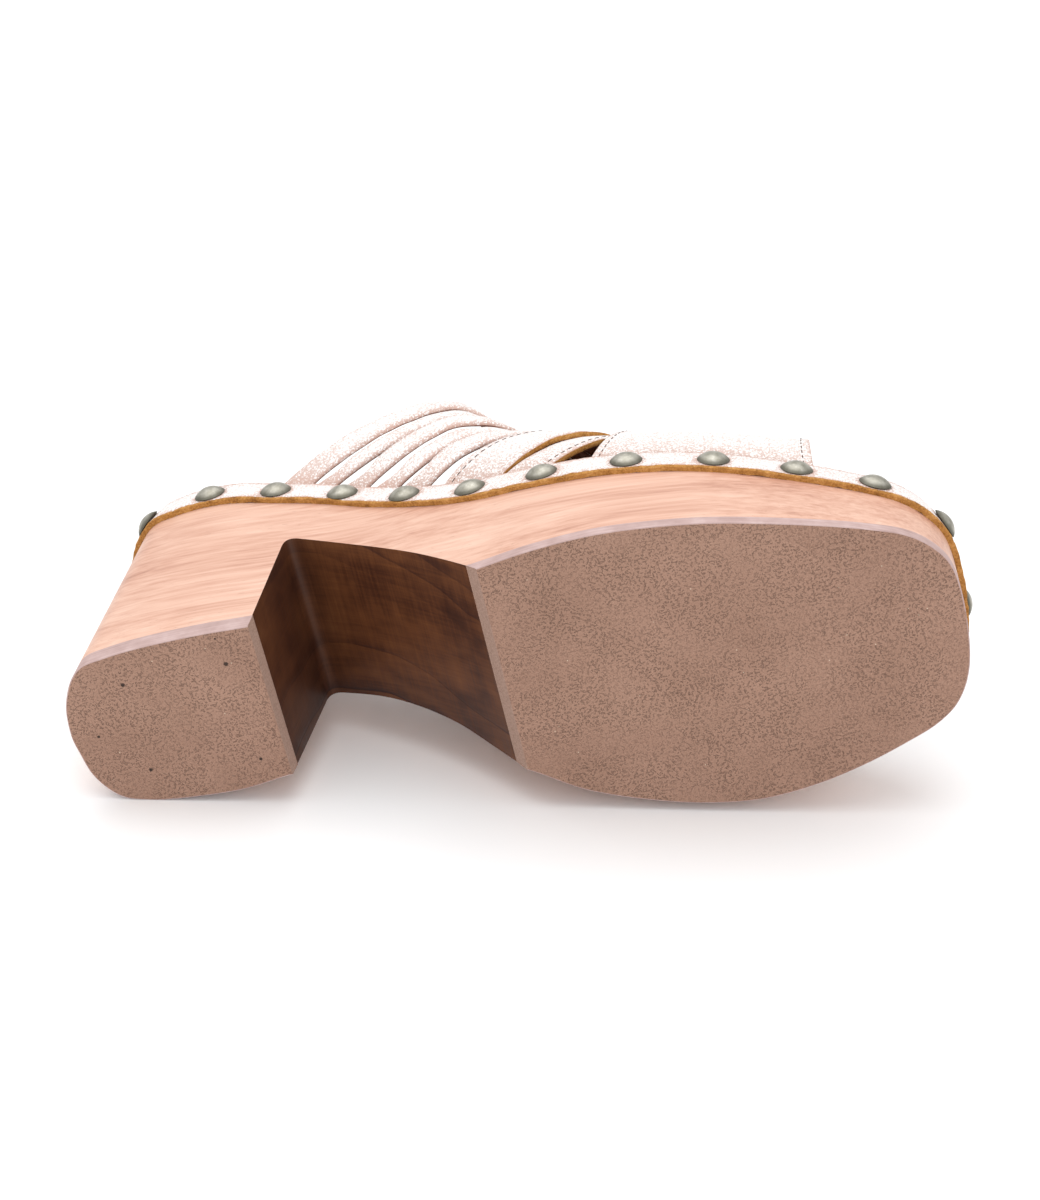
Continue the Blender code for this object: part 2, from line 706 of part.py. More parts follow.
solids = [(make_wood(), WOOD_DENSITY), (make_heel_rubber(), RUBBER_DENSITY),
          (make_fore_rubber(), RUBBER_DENSITY), (make_sock(), LEATHER_DENSITY),
          (make_upper(), LEATHER_DENSITY), (make_band(), LEATHER_DENSITY)]
solids += [(stud, METAL_DENSITY) for stud in make_studs()]

bpy.context.view_layer.update()
lying = bpy.data.objects.new("lying_on_inner_side", None)
sandal.objects.link(lying)
lying.matrix_world = lying_turn(solids)
for thing in list(cutters.objects) + [solid for solid, _ in solids]:
    thing.parent = lying
bpy.context.view_layer.update()
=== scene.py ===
"""Looks of a platform sandal for the right foot, lying on its inner side in soft studio light.

The shoe's own directions are X from heel to toe, Y to the inner side of the foot and Z up from
the tread. Meshes are made in them, in metres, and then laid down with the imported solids.
"""
import json
import math

import bmesh
import bpy
import numpy as np
from mathutils import Matrix, Vector, noise


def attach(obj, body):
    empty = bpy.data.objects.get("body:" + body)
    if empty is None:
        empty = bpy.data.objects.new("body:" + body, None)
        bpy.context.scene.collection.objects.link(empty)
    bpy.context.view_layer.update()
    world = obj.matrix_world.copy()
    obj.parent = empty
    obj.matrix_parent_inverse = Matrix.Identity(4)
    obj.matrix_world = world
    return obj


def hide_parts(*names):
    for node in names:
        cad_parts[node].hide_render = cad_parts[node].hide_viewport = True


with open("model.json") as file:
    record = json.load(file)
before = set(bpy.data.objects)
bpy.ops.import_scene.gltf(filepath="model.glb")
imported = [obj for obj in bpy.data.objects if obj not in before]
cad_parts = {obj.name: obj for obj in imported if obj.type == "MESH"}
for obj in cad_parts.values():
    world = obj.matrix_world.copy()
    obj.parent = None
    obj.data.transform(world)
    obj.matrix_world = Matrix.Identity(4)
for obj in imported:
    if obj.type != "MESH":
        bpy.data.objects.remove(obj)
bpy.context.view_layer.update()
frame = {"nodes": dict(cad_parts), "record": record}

# Sizes of the sole, as the solids have them
SOLE_LENGTH = 0.2500
HEEL_WIDTH = 0.0525
BALL_WIDTH = 0.0930
HEEL_TREAD_LENGTH = 0.0575
FORE_TREAD_START = 0.1225
HEEL_SIDE = 0.0705
BALL_SIDE = 0.0303
TOE_SPRING = 0.0035
SPRING_START = 0.2000
SIDE_FLARE = 0.048
TOE_FLARE = -0.008
BACK_LEAN = 0.170
LEAN_LENGTH = 0.0750
BREAST_LEAN = 0.175
BREAST_HEIGHT = 0.0438
ARCH_BOW = 0.0036
ARCH_FILLET = 0.0035
BED_DEPTH = 0.0040
BED_ROLL = 0.0200
FORE_RUBBER = 0.0032
HEEL_RUBBER = 0.0052
SOCK_THICKNESS = 0.0016
SOCK_INSET = 0.0015
SOCK_ROUND = 0.0007
BAND_HEIGHT = 0.0125
RIM_LEAN = 0.10
RIM_ROUND = 7.0
BAND_THICKNESS = 0.0015
MARGIN_THICKNESS = 0.0020
MARGIN_LAP = 0.0085
STUD_DIAMETER = 0.0092
STUD_RISE = 0.0017
STUD_HEIGHT = 0.0056
STUD_STAND = 0.0005
GAP = 0.0003

# Sizes of the straps, as the solids have them
STRAP_THICKNESS = 0.0017
STRAP_LAP = 0.0060
STRAP_START = 0.0002
PINCH_PLACE = 0.045
PINCH_REACH = 0.030
SWEEP_POWER = 1.15
INSTEP_RISE = 0.0555
WAIST_BULGE = 0.0075
DOME_POWER = 3.0
FORM_GIRTH = 0.150

# Sizes of the finish
SEAM = 0.00003
WOOD_ROUND = 0.0003
RUBBER_ROUND = 0.00035
MARGIN_ROUND = 0.0004
BAND_ROUND = 0.00035
BAND_FRAY = 0.00012
RAW_LIP = 0.0008
LIP_FRAY = 2.2
STUD_DENT = 0.00035
STUD_SUNK = 0.0006
STUD_WEAR = 0.0012
FOOT_WEAR = 0.009
RIM_WEAR = 0.0016
RIM_WEAR_FAINT = 0.005
CROWNED_WIDTH = 0.02
STRAP_CROWN = 0.00045
STRAP_RIPPLE = 0.00022
STITCH_LENGTH = 0.0017
STITCH_PITCH = 0.0024
STITCH_THICKNESS = 0.00034
STITCH_INSET = 0.0026

# Fineness of the meshes
OUTLINE_STEPS = 12
PROFILE_STEPS = 10
FORM_STEPS = 8
FORM_POINTS = 121
SIDE_STATIONS = 132
BAND_STATIONS = 260
PATH_POINTS = 400
ROW_POINTS = 22
ARCH_POINTS = 40
FILLET_POINTS = 10
STRAP_STATIONS = 110
STRAP_COLUMN = 0.0022
CUTTER_REACH = 0.010
SMOOTH_ANGLE = math.radians(38)

# Outline of the tread. along: share of SOLE_LENGTH. outer and inner: shares of the local width,
# which runs from HEEL_WIDTH to BALL_WIDTH through the waist.
#    along   outer   inner
OUTLINE = (
    (0.000, 0.000, 0.000),
    (0.003, -0.150, 0.112),
    (0.009, -0.242, 0.250),
    (0.021, -0.347, 0.354),
    (0.036, -0.413, 0.425),
    (0.063, -0.442, 0.470),
    (0.098, -0.463, 0.495),
    (0.170, -0.478, 0.507),
    (0.230, -0.474, 0.469),
    (0.300, -0.433, 0.411),
    (0.340, -0.398, 0.374),
    (0.380, -0.370, 0.358),
    (0.420, -0.350, 0.361),
    (0.450, -0.338, 0.383),
    (0.490, -0.332, 0.412),
    (0.550, -0.345, 0.503),
    (0.620, -0.359, 0.580),
    (0.680, -0.351, 0.624),
    (0.740, -0.331, 0.644),
    (0.800, -0.297, 0.628),
    (0.860, -0.254, 0.588),
    (0.910, -0.209, 0.542),
    (0.950, -0.161, 0.497),
    (0.975, -0.104, 0.443),
    (0.993, -0.026, 0.342),
    (1.000, 0.140, 0.140),
)
WAIST_BEGIN = 0.23
WAIST_END = 0.55

# Places of the studs along the outer side and round the toe, as shares of the band's whole length
# from the middle of its back. The rest follow on the inner side at an even pitch.
STUD_PLACES = (0.041, 0.079, 0.115, 0.153, 0.190, 0.226, 0.263, 0.304, 0.345, 0.384, 0.421, 0.461, 0.505)
INNER_STUDS = 13

# Height of the wood below the band. heel: share of HEEL_SIDE. ball: share of BALL_SIDE.
#    along  heel   ball
SIDE_PROFILE = (
    (0.00, 1.000, 0.000),
    (0.12, 0.998, 0.000),
    (0.17, 0.985, 0.000),
    (0.20, 0.960, 0.000),
    (0.25, 0.820, 0.190),
    (0.30, 0.690, 0.330),
    (0.36, 0.490, 0.515),
    (0.42, 0.310, 0.675),
    (0.48, 0.190, 0.775),
    (0.54, 0.110, 0.845),
    (0.60, 0.055, 0.900),
    (0.68, 0.000, 0.985),
    (0.76, 0.000, 0.920),
    (0.84, 0.000, 0.815),
    (0.92, 0.000, 0.715),
    (1.00, 0.000, 0.625),
)

# The form that the straps lie on. rise: height of its ridge over the band, share of INSTEP_RISE.
# bulge: how far it stands out past the sole at each side, share of WAIST_BULGE.
#    along  rise   bulge
DOME = (
    (0.22, 1.500, 0.60),
    (0.36, 1.350, 1.00),
    (0.44, 1.190, 1.00),
    (0.49, 0.960, 0.72),
    (0.53, 0.775, 0.40),
    (0.59, 0.640, 0.18),
    (0.68, 0.540, 0.08),
    (0.77, 0.505, 0.18),
    (0.86, 0.480, 0.35),
    (0.92, 0.470, 0.35),
)

# Straps. Both edges as shares of SOLE_LENGTH, at the band and on the ridge; level: how many
# strap thicknesses the strap lies over the form; ease: share of the girth in which it climbs there;
# pinch: share of its width by which its rear edge is drawn in close above the band; cut: 1 where
# the front edge is cut raw, 0 where it is turned in; sewn: insets of its two stitch lines from the
# rear and front edge, in STITCH_INSET.
#    name           rear at band  front at band  rear on ridge  front on ridge  level  ease  pinch
#    cut  sewn
STRAPS = (
    ("instep_strap", 0.239, 0.275, 0.492, 0.538, 1.00, 0.15, 0.0, 0, (0, 0)),
    ("strap_two", 0.278, 0.305, 0.536, 0.574, 0.35, 0.15, 0.3, 0, (0, 0)),
    ("strap_three", 0.313, 0.345, 0.572, 0.608, 0.85, 0.15, 0.3, 0, (0, 0)),
    ("strap_four", 0.352, 0.383, 0.606, 0.638, 0.10, 0.15, 0.3, 0, (0, 0)),
    ("strap_five", 0.386, 0.421, 0.636, 0.672, 0.60, 0.15, 0.2, 0, (0, 0)),
    ("wide_strap", 0.440, 0.510, 0.662, 0.743, 1.00, 0.12, 0.0, 1, (1, 0)),
    ("under_strap", 0.512, 0.567, 0.738, 0.788, 0.00, 0.15, 0.0, 1, (0, 1)),
    ("toe_strap", 0.616, 0.863, 0.694, 0.856, 1.80, 0.30, 0.0, 1, (1, 1)),
)

# Nail holes in the heel's tread: place in the shoe's X and Y, and radius, in metres
NAIL_HOLES = (
    (0.0189, -0.0137, 0.00055),
    (0.0486, -0.0144, 0.00060),
    (0.0076, 0.0013, 0.00040),
    (0.0189, 0.0149, 0.00050),
    (0.0501, 0.0177, 0.00045),
    (0.0477, -0.0228, 0.00025),
)

# Points of the shoe, in X and Y, at which the record has its two tread mounts
HEEL_MOUNT = (0.030, 0.001)
FORE_MOUNT = (0.160, 0.012)

# Photograph's camera against the shoe: turn, and place of the shoe's origin in metres
CAMERA_TURN = ((0.9771, 0.2125, 0.0114), (0.1784, -0.8472, 0.5004), (0.1160, -0.4869, -0.8657))
CAMERA_PLACE = (-0.12533, -0.03849, -0.83809)
CAMERA_LENS = 90.0
CAMERA_SENSOR = 36.0

# Studio. A softbox has its place, the point that it looks at, its width and its power in watts.
OVERHEAD_SOFTBOX = ((-0.15, 0.10, 1.25), (0.0, 0.0, 0.05), 1.5, 12.0)
FRONT_SOFTBOX = ((0.35, -1.40, 0.55), (0.0, 0.0, 0.04), 1.2, 5.0)
SKY_STRENGTH = 0.88
FLOOR_REACH = 6.0


def smooth(t):
    """Ease from 0 to 1 with level ends."""
    t = np.clip(t, 0.0, 1.0)
    return t * t * (3.0 - 2.0 * t)


def through(points, spans, steps):
    """Smooth line through the points, cut into steps for each span in the range spans."""
    points = np.array(points, float)
    chords = np.sqrt(np.linalg.norm(np.diff(points, axis=0), axis=1))
    knots = np.concatenate(([0.0], np.cumsum(chords)))
    slopes = np.gradient(points, knots, axis=0)
    line = []
    for i in spans:
        reach = knots[i + 1] - knots[i]
        for t in np.arange(steps) / steps:
            near = points[i] * (1 + 2 * t) * (1 - t) ** 2 + slopes[i] * reach * t * (1 - t) ** 2
            far = points[i + 1] * t * t * (3 - 2 * t) + slopes[i + 1] * reach * t * t * (t - 1)
            line.append(near + far)
    line.append(points[spans[-1] + 1])
    return np.array(line)


def tread_outline():
    """Closed outline of the tread as two lines of x, y and outward normal, heel back to toe."""
    rows = np.array(OUTLINE)
    waist = smooth((rows[:, 0] - WAIST_BEGIN) / (WAIST_END - WAIST_BEGIN))
    width = HEEL_WIDTH + (BALL_WIDTH - HEEL_WIDTH) * waist
    outer = np.column_stack((rows[:, 0] * SOLE_LENGTH, rows[:, 1] * width))
    inner = np.column_stack((rows[:, 0] * SOLE_LENGTH, rows[:, 2] * width))
    loop = np.concatenate((outer, inner[-2:0:-1]))
    padded = np.concatenate((loop[-3:], loop, loop[:4]))
    line = through(padded, range(3, 3 + len(loop)), OUTLINE_STEPS)
    run = np.gradient(np.concatenate((line[-2:-1], line, line[1:2])), axis=0)[1:-1]
    run /= np.linalg.norm(run, axis=1)[:, None]
    table = np.column_stack((line, run[:, 1], -run[:, 0]))
    turn = OUTLINE_STEPS * (len(OUTLINE) - 1)
    return table[: turn + 1], table[turn:][::-1]


OUTER, INNER = tread_outline()
SIDES = {"outer": OUTER, "inner": INNER}
PROFILE_LINE = through([(a, h * HEEL_SIDE + b * BALL_SIDE) for a, h, b in SIDE_PROFILE],
                       range(len(SIDE_PROFILE) - 1), PROFILE_STEPS)
DOME_LINE = through(DOME, range(len(DOME) - 1), FORM_STEPS)


def tread_z(x):
    """Height of the tread, which lifts at the toe."""
    return TOE_SPRING * np.clip((x - SPRING_START) / (SOLE_LENGTH - SPRING_START), 0, 1.2) ** 2


def side_height(x):
    """Height of the band's lower edge at a length along the sole."""
    return np.interp(x / SOLE_LENGTH, PROFILE_LINE[:, 0], PROFILE_LINE[:, 1])


def wall(side, x, z, out=0.0):
    """Points on the sole's side at stations x of the tread, height z, moved outwards by out."""
    line = SIDES[side]
    y, nx, ny = (np.interp(x, line[:, 0], line[:, k]) for k in (1, 2, 3))
    fade = 1 - smooth(x / LEAN_LENGTH)
    flare = SIDE_FLARE + (TOE_FLARE - SIDE_FLARE) * smooth((x / SOLE_LENGTH - 0.5) / 0.5)
    far_x = x + (BACK_LEAN + SIDE_FLARE) * fade * z + nx * (flare * z + out)
    far_y = y + ny * (flare * z + out)
    return np.column_stack((far_x, far_y, z * np.ones_like(x)))


def edge(side, x, over, out=0.0):
    """Points on the sole's side at a height over above the band's lower edge."""
    z = side_height(x)
    for _ in range(8):
        z = side_height(wall(side, x, z)[:, 0])
    return wall(side, x, z + over, out - RIM_LEAN * over - RIM_ROUND * over ** 2)


def stations(x_from, x_to, count=SIDE_STATIONS):
    """Lengths along the sole, closer together at both ends."""
    share = (1 - np.cos(np.linspace(0, math.pi, count + 1))) / 2
    return x_from + (x_to - x_from) * share


def lying_place():
    """Matrix that lays the shoe down, from the record's two tread mounts."""
    mounts = {mount["name"]: mount for mount in frame["record"]["mounts"]}
    heel, fore = (Vector(mounts[name]["pos_m"]) for name in ("heel_tread", "forefoot_tread"))
    up = -Vector(mounts["heel_tread"]["axis"]).normalized()
    ahead = (fore - heel).normalized()
    aside = up.cross(ahead)
    turn = math.atan2(FORE_MOUNT[1] - HEEL_MOUNT[1], FORE_MOUNT[0] - HEEL_MOUNT[0])
    x_way = math.cos(turn) * ahead - math.sin(turn) * aside
    y_way = math.sin(turn) * ahead + math.cos(turn) * aside
    origin = heel - HEEL_MOUNT[0] * x_way - HEEL_MOUNT[1] * y_way
    place = Matrix((x_way, y_way, up)).transposed().to_4x4()
    place.translation = origin
    return place


LYING = lying_place()


class Line:
    """Output of a shader node. Arithmetic on it adds Math nodes."""

    def __init__(self, paint, socket):
        self.paint = paint
        self.socket = socket

    def math(self, operation, *others):
        return self.paint.node("ShaderNodeMath", {"operation": operation},
                               dict(enumerate((self, *others))))

    def __add__(self, other):
        return self.math("ADD", other)

    def __sub__(self, other):
        return self.math("SUBTRACT", other)

    def __mul__(self, other):
        return self.math("MULTIPLY", other)

    def __truediv__(self, other):
        return self.math("DIVIDE", other)

    def __rsub__(self, other):
        return self.paint.node("ShaderNodeMath", {"operation": "SUBTRACT"}, {0: other, 1: self})

    __radd__ = __add__


class Paint:
    """One material, built node by node."""

    def __init__(self, name, roughness, **uniform):
        self.material = bpy.data.materials.new(name)
        self.material.use_nodes = True
        self.tree = self.material.node_tree
        self.shader = self.tree.nodes["Principled BSDF"]
        self.shader.inputs["Roughness"].default_value = roughness
        for key, value in uniform.items():
            self.shader.inputs[key.replace("_", " ")].default_value = value

    def node(self, kind, settings=None, sockets=None, out=0):
        """Any node: its type, its settings, the values or links of its sockets, and its output."""
        made = self.tree.nodes.new(kind)
        for key, value in (settings or {}).items():
            if key == "stops":
                self.set_stops(made.color_ramp, value)
            else:
                setattr(made, key, value)
        for key, value in (sockets or {}).items():
            if isinstance(value, Line):
                self.tree.links.new(value.socket, made.inputs[key])
            else:
                made.inputs[key].default_value = value
        return Line(self, made.outputs[out])

    @staticmethod
    def set_stops(ramp, stops):
        """Give a colour ramp its stops of place and colour."""
        while len(ramp.elements) < len(stops):
            ramp.elements.new(0.5)
        for element, (place, colour) in zip(ramp.elements, stops):
            element.position = place
            element.color = (*colour, 1.0)

    def place(self, name="last"):
        """Vector that the piece stores at each of its points."""
        return self.node("ShaderNodeAttribute", {"attribute_name": name}, out="Vector")

    def value(self, name):
        """Number that the piece stores at each of its points."""
        return self.node("ShaderNodeAttribute", {"attribute_name": name}, out="Fac")

    def scaled(self, vector, scales):
        """Vector with each of its parts multiplied."""
        return self.node("ShaderNodeVectorMath", {"operation": "MULTIPLY"}, {0: vector, 1: scales})

    def shifted(self, vector, other):
        """Sum of two vectors."""
        return self.node("ShaderNodeVectorMath", {"operation": "ADD"}, {0: vector, 1: other})

    def parts(self, vector):
        """X, Y and Z of a vector."""
        made = self.node("ShaderNodeSeparateXYZ", None, {0: vector})
        return [Line(self, made.socket.node.outputs[k]) for k in range(3)]

    def joined(self, x, y, z):
        """Vector from three numbers."""
        return self.node("ShaderNodeCombineXYZ", None, {0: x, 1: y, 2: z})

    def noise(self, vector, scale, detail=3.0, roughness=0.5):
        """Cloudy noise, from 0 to 1."""
        return self.node("ShaderNodeTexNoise", None, {
            "Vector": vector, "Scale": scale, "Detail": detail, "Roughness": roughness})

    def window(self, value, low, high):
        """Rise from 0 at low to 1 at high, with level ends. High may be below low."""
        return self.node("ShaderNodeMapRange", {"interpolation_type": "SMOOTHSTEP"},
                         {"Value": value, 1: low, 2: high, 3: 0.0, 4: 1.0})

    def mix(self, share, first, second):
        """Colour between two colours."""
        first, second = (c if isinstance(c, Line) else (*c, 1.0) for c in (first, second))
        return self.node("ShaderNodeMix", {"data_type": "RGBA"},
                         {0: share, 6: first, 7: second}, out=2)

    def ramp(self, value, stops):
        """Colour from a number, through stops of place and colour."""
        return self.node("ShaderNodeValToRGB", {"stops": stops}, {0: value})

    def bump(self, height, distance, strength):
        """Relief of a height from 0 to 1 over a distance in metres."""
        return self.node("ShaderNodeBump", None,
                         {"Height": height, "Distance": distance, "Strength": strength})

    def set(self, **sockets):
        """Link the shader's varying sockets, and give the material."""
        for key, value in sockets.items():
            self.tree.links.new(value.socket, self.shader.inputs[key.replace("_", " ")])
        return self.material


def warped_grain(paint, place, bend):
    """Shoe coordinates whose height waves a little, so that grain lines flow."""
    x, y, z = paint.parts(place)
    sway = (paint.noise(paint.scaled(place, (9.0, 20.0, 14.0)), 1.0, 1.0) - 0.5) * bend
    return paint.joined(x, y + sway, z + sway + x * 0.06)


def sanded_wood():
    """Pale salmon wood with fine streaks that run from heel to toe."""
    paint = Paint("sanded_wood", 0.42, Coat_Weight=0.12, Coat_Roughness=0.35)
    place = warped_grain(paint, paint.place(), 0.016)
    fine = paint.noise(paint.scaled(place, (32.0, 900.0, 900.0)), 1.0, 4.0, 0.62)
    broad = paint.noise(paint.scaled(place, (7.0, 120.0, 120.0)), 1.0, 2.0, 0.5)
    patch = paint.noise(paint.scaled(place, (14.0, 38.0, 38.0)), 1.0, 2.0, 0.5)
    tone = fine * 0.46 + broad * 0.36 + patch * 0.18
    colour = paint.ramp(tone, ((0.32, (0.42, 0.200, 0.135)), (0.43, (0.57, 0.310, 0.220)),
                               (0.52, (0.66, 0.395, 0.292)), (0.64, (0.74, 0.490, 0.378))))
    pores = paint.noise(paint.scaled(place, (230.0, 3600.0, 3600.0)), 1.0, 2.0, 0.5)
    pore = paint.window(pores, 0.66, 0.74) * paint.window(patch, 0.42, 0.60)
    colour = paint.mix(pore * 0.55, colour, (0.30, 0.125, 0.075))
    return paint.set(Base_Color=colour, Roughness=0.36 + fine * 0.16,
                     Normal=paint.bump(fine - pore * 0.6, 0.00006, 0.6))


def stained_wood():
    """Dark stain under the arch, with growth lines that sweep from the breast to the forefoot, and
    painted shade on the heel's breast.
    """
    paint = Paint("stained_wood", 0.46, Specular_IOR_Level=0.22)
    place = paint.place()
    x, y, z = paint.parts(place)
    wave = paint.noise(paint.scaled(place, (22.0, 22.0, 22.0)), 1.0, 2.0, 0.5) - 0.5
    ahead = (x - 0.066).math("MAXIMUM", 0.0)
    ring = y * 1000.0 + ahead * ahead * -4300.0 - ahead * 120.0 + wave * 13.0
    turn = ring / 7.5
    phase = turn.math("FRACT")
    weight = paint.node("ShaderNodeTexWhiteNoise", {"noise_dimensions": "1D"},
                        {"W": turn.math("FLOOR")}, out="Value")
    line = paint.window(phase, 0.84, 0.95) * paint.window(phase, 1.0, 0.96)
    line = line * paint.window(weight, 0.40, 0.75)
    soft = paint.window(phase, 0.20, 0.95) * weight
    strong = paint.noise(paint.scaled(place, (14.0, 60.0, 14.0)), 1.0, 1.0, 0.5)
    fine = paint.noise(paint.scaled(place, (60.0, 1300.0, 60.0)), 1.0, 3.0, 0.6)
    tool = paint.noise(paint.scaled(place, (1500.0, 45.0, 1500.0)), 1.0, 3.0, 0.6)
    cloud = paint.noise(place, 46.0, 3.0, 0.6)
    tone = cloud * 0.60 + fine * 0.18 + tool * 0.22 - soft * 0.12
    colour = paint.ramp(tone, ((0.24, (0.018, 0.005, 0.003)), (0.40, (0.052, 0.015, 0.006)),
                               (0.56, (0.118, 0.039, 0.013)), (0.76, (0.205, 0.079, 0.027))))
    colour = paint.mix(line * paint.window(strong, 0.36, 0.60) * 0.80, colour, (0.020, 0.006, 0.006))
    # Painted shade: the heel's breast and its corner with the arch are darkened, fading out by 84 mm
    # along.
    corner = paint.window(x, 0.084, 0.064) * 0.45
    colour = paint.mix(corner, colour, (0.026, 0.009, 0.006))
    return paint.set(Base_Color=colour, Roughness=0.38 + tool * 0.22,
                     Normal=paint.bump(tool * 0.5 + fine * 0.5 - line, 0.00007, 0.5))


def crumb_layer(paint, place, cell, seed):
    """Short bent strokes scattered over the tread, one for each cell: 1 on a stroke."""
    moved = paint.shifted(paint.scaled(place, (1.0 / cell, 1.0 / cell, 0.0)), (seed, seed * 1.7, 0.0))
    cells = paint.node("ShaderNodeTexVoronoi", {"voronoi_dimensions": "2D"},
                       {"Vector": moved, "Scale": 1.0, "Randomness": 1.0})
    colour = Line(paint, cells.socket.node.outputs["Color"])
    middle = Line(paint, cells.socket.node.outputs["Position"])
    red, green, blue = paint.parts(colour)
    away = paint.node("ShaderNodeVectorMath", {"operation": "SUBTRACT"}, {0: moved, 1: middle})
    turned = paint.node("ShaderNodeVectorRotate", {"rotation_type": "Z_AXIS"},
                        {"Vector": away, "Angle": red * 6.283})
    a, b, _ = paint.parts(turned)
    bent = b + a * a * (green * 4.0 - 2.0)
    past = (a.math("ABSOLUTE") - (blue * 0.20 + 0.08)).math("MAXIMUM", 0.0)
    distance = (past * past + bent * bent).math("SQRT")
    return paint.window(distance, 0.13, 0.03) * paint.window(green, 0.15, 0.35)


def crumb_tread():
    """Matt taupe rubber with worm-like crumbs, light specks and the heel's nail holes, with painted
    shade on the crumbs and in the holes.
    """
    paint = Paint("crumb_tread", 0.82, Specular_IOR_Level=0.32)
    place = paint.place()
    patch = paint.noise(place, 75.0, 3.0, 0.6)
    relief = None
    for cell, seed in ((0.0016, 3.1), (0.0013, 17.3), (0.0010, 41.9)):
        layer = crumb_layer(paint, place, cell, seed)
        relief = layer if relief is None else relief.math("MAXIMUM", layer)
    relief = relief * (0.45 + paint.window(patch, 0.38, 0.58) * 0.55)
    grit = paint.noise(place, 2600.0, 3.0, 0.7)
    cloud = paint.noise(place, 34.0, 3.0, 0.55)
    colour = paint.ramp(cloud * 0.25 + grit * 0.75, (
        (0.36, (0.265, 0.150, 0.104)), (0.50, (0.340, 0.198, 0.142)), (0.64, (0.415, 0.250, 0.184))))
    # Painted shade: the crumbs are darkened as the shadow of their raised relief.
    colour = paint.mix(relief * 0.38, colour, (0.190, 0.096, 0.062))
    specks = paint.node("ShaderNodeTexVoronoi", {"voronoi_dimensions": "2D"},
                        {"Vector": place, "Scale": 330.0}, out="Distance")
    rare = paint.noise(place, 190.0, 1.0, 0.5)
    speck = paint.window(specks, 0.065, 0.04) * paint.window(rare, 0.66, 0.70)
    colour = paint.mix(speck * 0.8, colour, (0.72, 0.60, 0.46))
    hole = None
    for hole_x, hole_y, radius in NAIL_HOLES:
        gap = paint.node("ShaderNodeVectorMath", {"operation": "DISTANCE"},
                         {0: paint.scaled(place, (1.0, 1.0, 0.0)), 1: (hole_x, hole_y, 0.0)},
                         out="Value")
        dip = paint.window(gap + (grit - 0.5) * radius, radius * 1.25, radius * 0.75)
        hole = dip if hole is None else hole.math("MAXIMUM", dip)
    # Painted shade: the nail holes are painted near black, as the shade inside them.
    colour = paint.mix(hole * 0.9, colour, (0.022, 0.015, 0.012))
    height = 0.50 + relief * 0.50 + (grit - 0.5) * 0.30 - hole * 0.50
    return paint.set(Base_Color=colour, Roughness=0.90 - relief * 0.18,
                     Normal=paint.bump(height, 0.00060, 1.0))


def ground_rubber():
    """Ground edge of the rubber: smoother, paler and mauve."""
    paint = Paint("ground_rubber", 0.62)
    place = paint.place()
    cloud = paint.noise(place, 160.0, 3.0, 0.6)
    drag = paint.noise(paint.scaled(place, (60.0, 60.0, 1500.0)), 1.0, 3.0, 0.6)
    colour = paint.ramp(cloud * 0.5 + drag * 0.5, (
        (0.34, (0.370, 0.245, 0.225)), (0.52, (0.470, 0.330, 0.310)), (0.68, (0.570, 0.430, 0.410))))
    return paint.set(Base_Color=colour, Roughness=0.55 + cloud * 0.2,
                     Normal=paint.bump(drag, 0.00005, 0.5))


def cut_rubber():
    """Cut end of the rubber under the arch: plain taupe."""
    paint = Paint("cut_rubber", 0.80)
    grit = paint.noise(paint.place(), 1800.0, 3.0, 0.65)
    colour = paint.ramp(grit, ((0.35, (0.270, 0.165, 0.122)), (0.65, (0.390, 0.250, 0.195))))
    return paint.set(Base_Color=colour, Normal=paint.bump(grit, 0.00012, 0.7))


def white_leather():
    """White finish over pink-brown leather, cracked all over and rubbed through at its edges."""
    paint = Paint("white_leather", 0.55, Specular_IOR_Level=0.42)
    place = paint.place()
    wear = paint.value("wear")
    patch = paint.noise(place, 62.0, 3.0, 0.6)
    grain = paint.node("ShaderNodeTexVoronoi", {"feature": "DISTANCE_TO_EDGE"}, {
        "Vector": paint.shifted(place, paint.scaled(
            paint.node("ShaderNodeTexNoise", None, {"Vector": place, "Scale": 420.0}, out="Color"),
            (0.0009, 0.0009, 0.0009))), "Scale": 900.0})
    dots = paint.noise(place, 1500.0, 3.0, 0.65)
    cracks = paint.window(grain, 0.16, 0.03)
    amount = (wear * 1.10 + paint.window(patch, 0.42, 0.72) * 0.40).math("MINIMUM", 1.0)
    broken = paint.window(dots + amount * 0.23 + cracks * 0.10, 0.60, 0.72)
    tint = paint.ramp(patch, ((0.35, (0.44, 0.250, 0.185)), (0.65, (0.56, 0.375, 0.315))))
    colour = paint.mix(patch, (0.80, 0.745, 0.725), (0.87, 0.835, 0.820))
    colour = paint.mix(broken * (0.34 + amount * 0.62), colour, tint)
    folds = paint.noise(place, 240.0, 3.0, 0.6)
    height = paint.window(grain, 0.0, 0.20) * 0.45 + folds * 0.55 - broken * 0.20
    return paint.set(Base_Color=colour, Roughness=0.46 + broken * 0.25,
                     Normal=paint.bump(height, 0.00022, 0.7))


def raw_leather():
    """Cut edge of the leather: golden-brown fibres."""
    paint = Paint("raw_leather", 0.92, Specular_IOR_Level=0.2)
    place = paint.place()
    fibre = paint.noise(place, 1700.0, 4.0, 0.7)
    cloud = paint.noise(place, 260.0, 3.0, 0.6)
    colour = paint.ramp(fibre * 0.55 + cloud * 0.45, (
        (0.34, (0.200, 0.082, 0.018)), (0.50, (0.450, 0.210, 0.055)), (0.66, (0.660, 0.360, 0.125))))
    return paint.set(Base_Color=colour, Roughness=0.86 + cloud * 0.1,
                     Normal=paint.bump(fibre, 0.00035, 0.9))


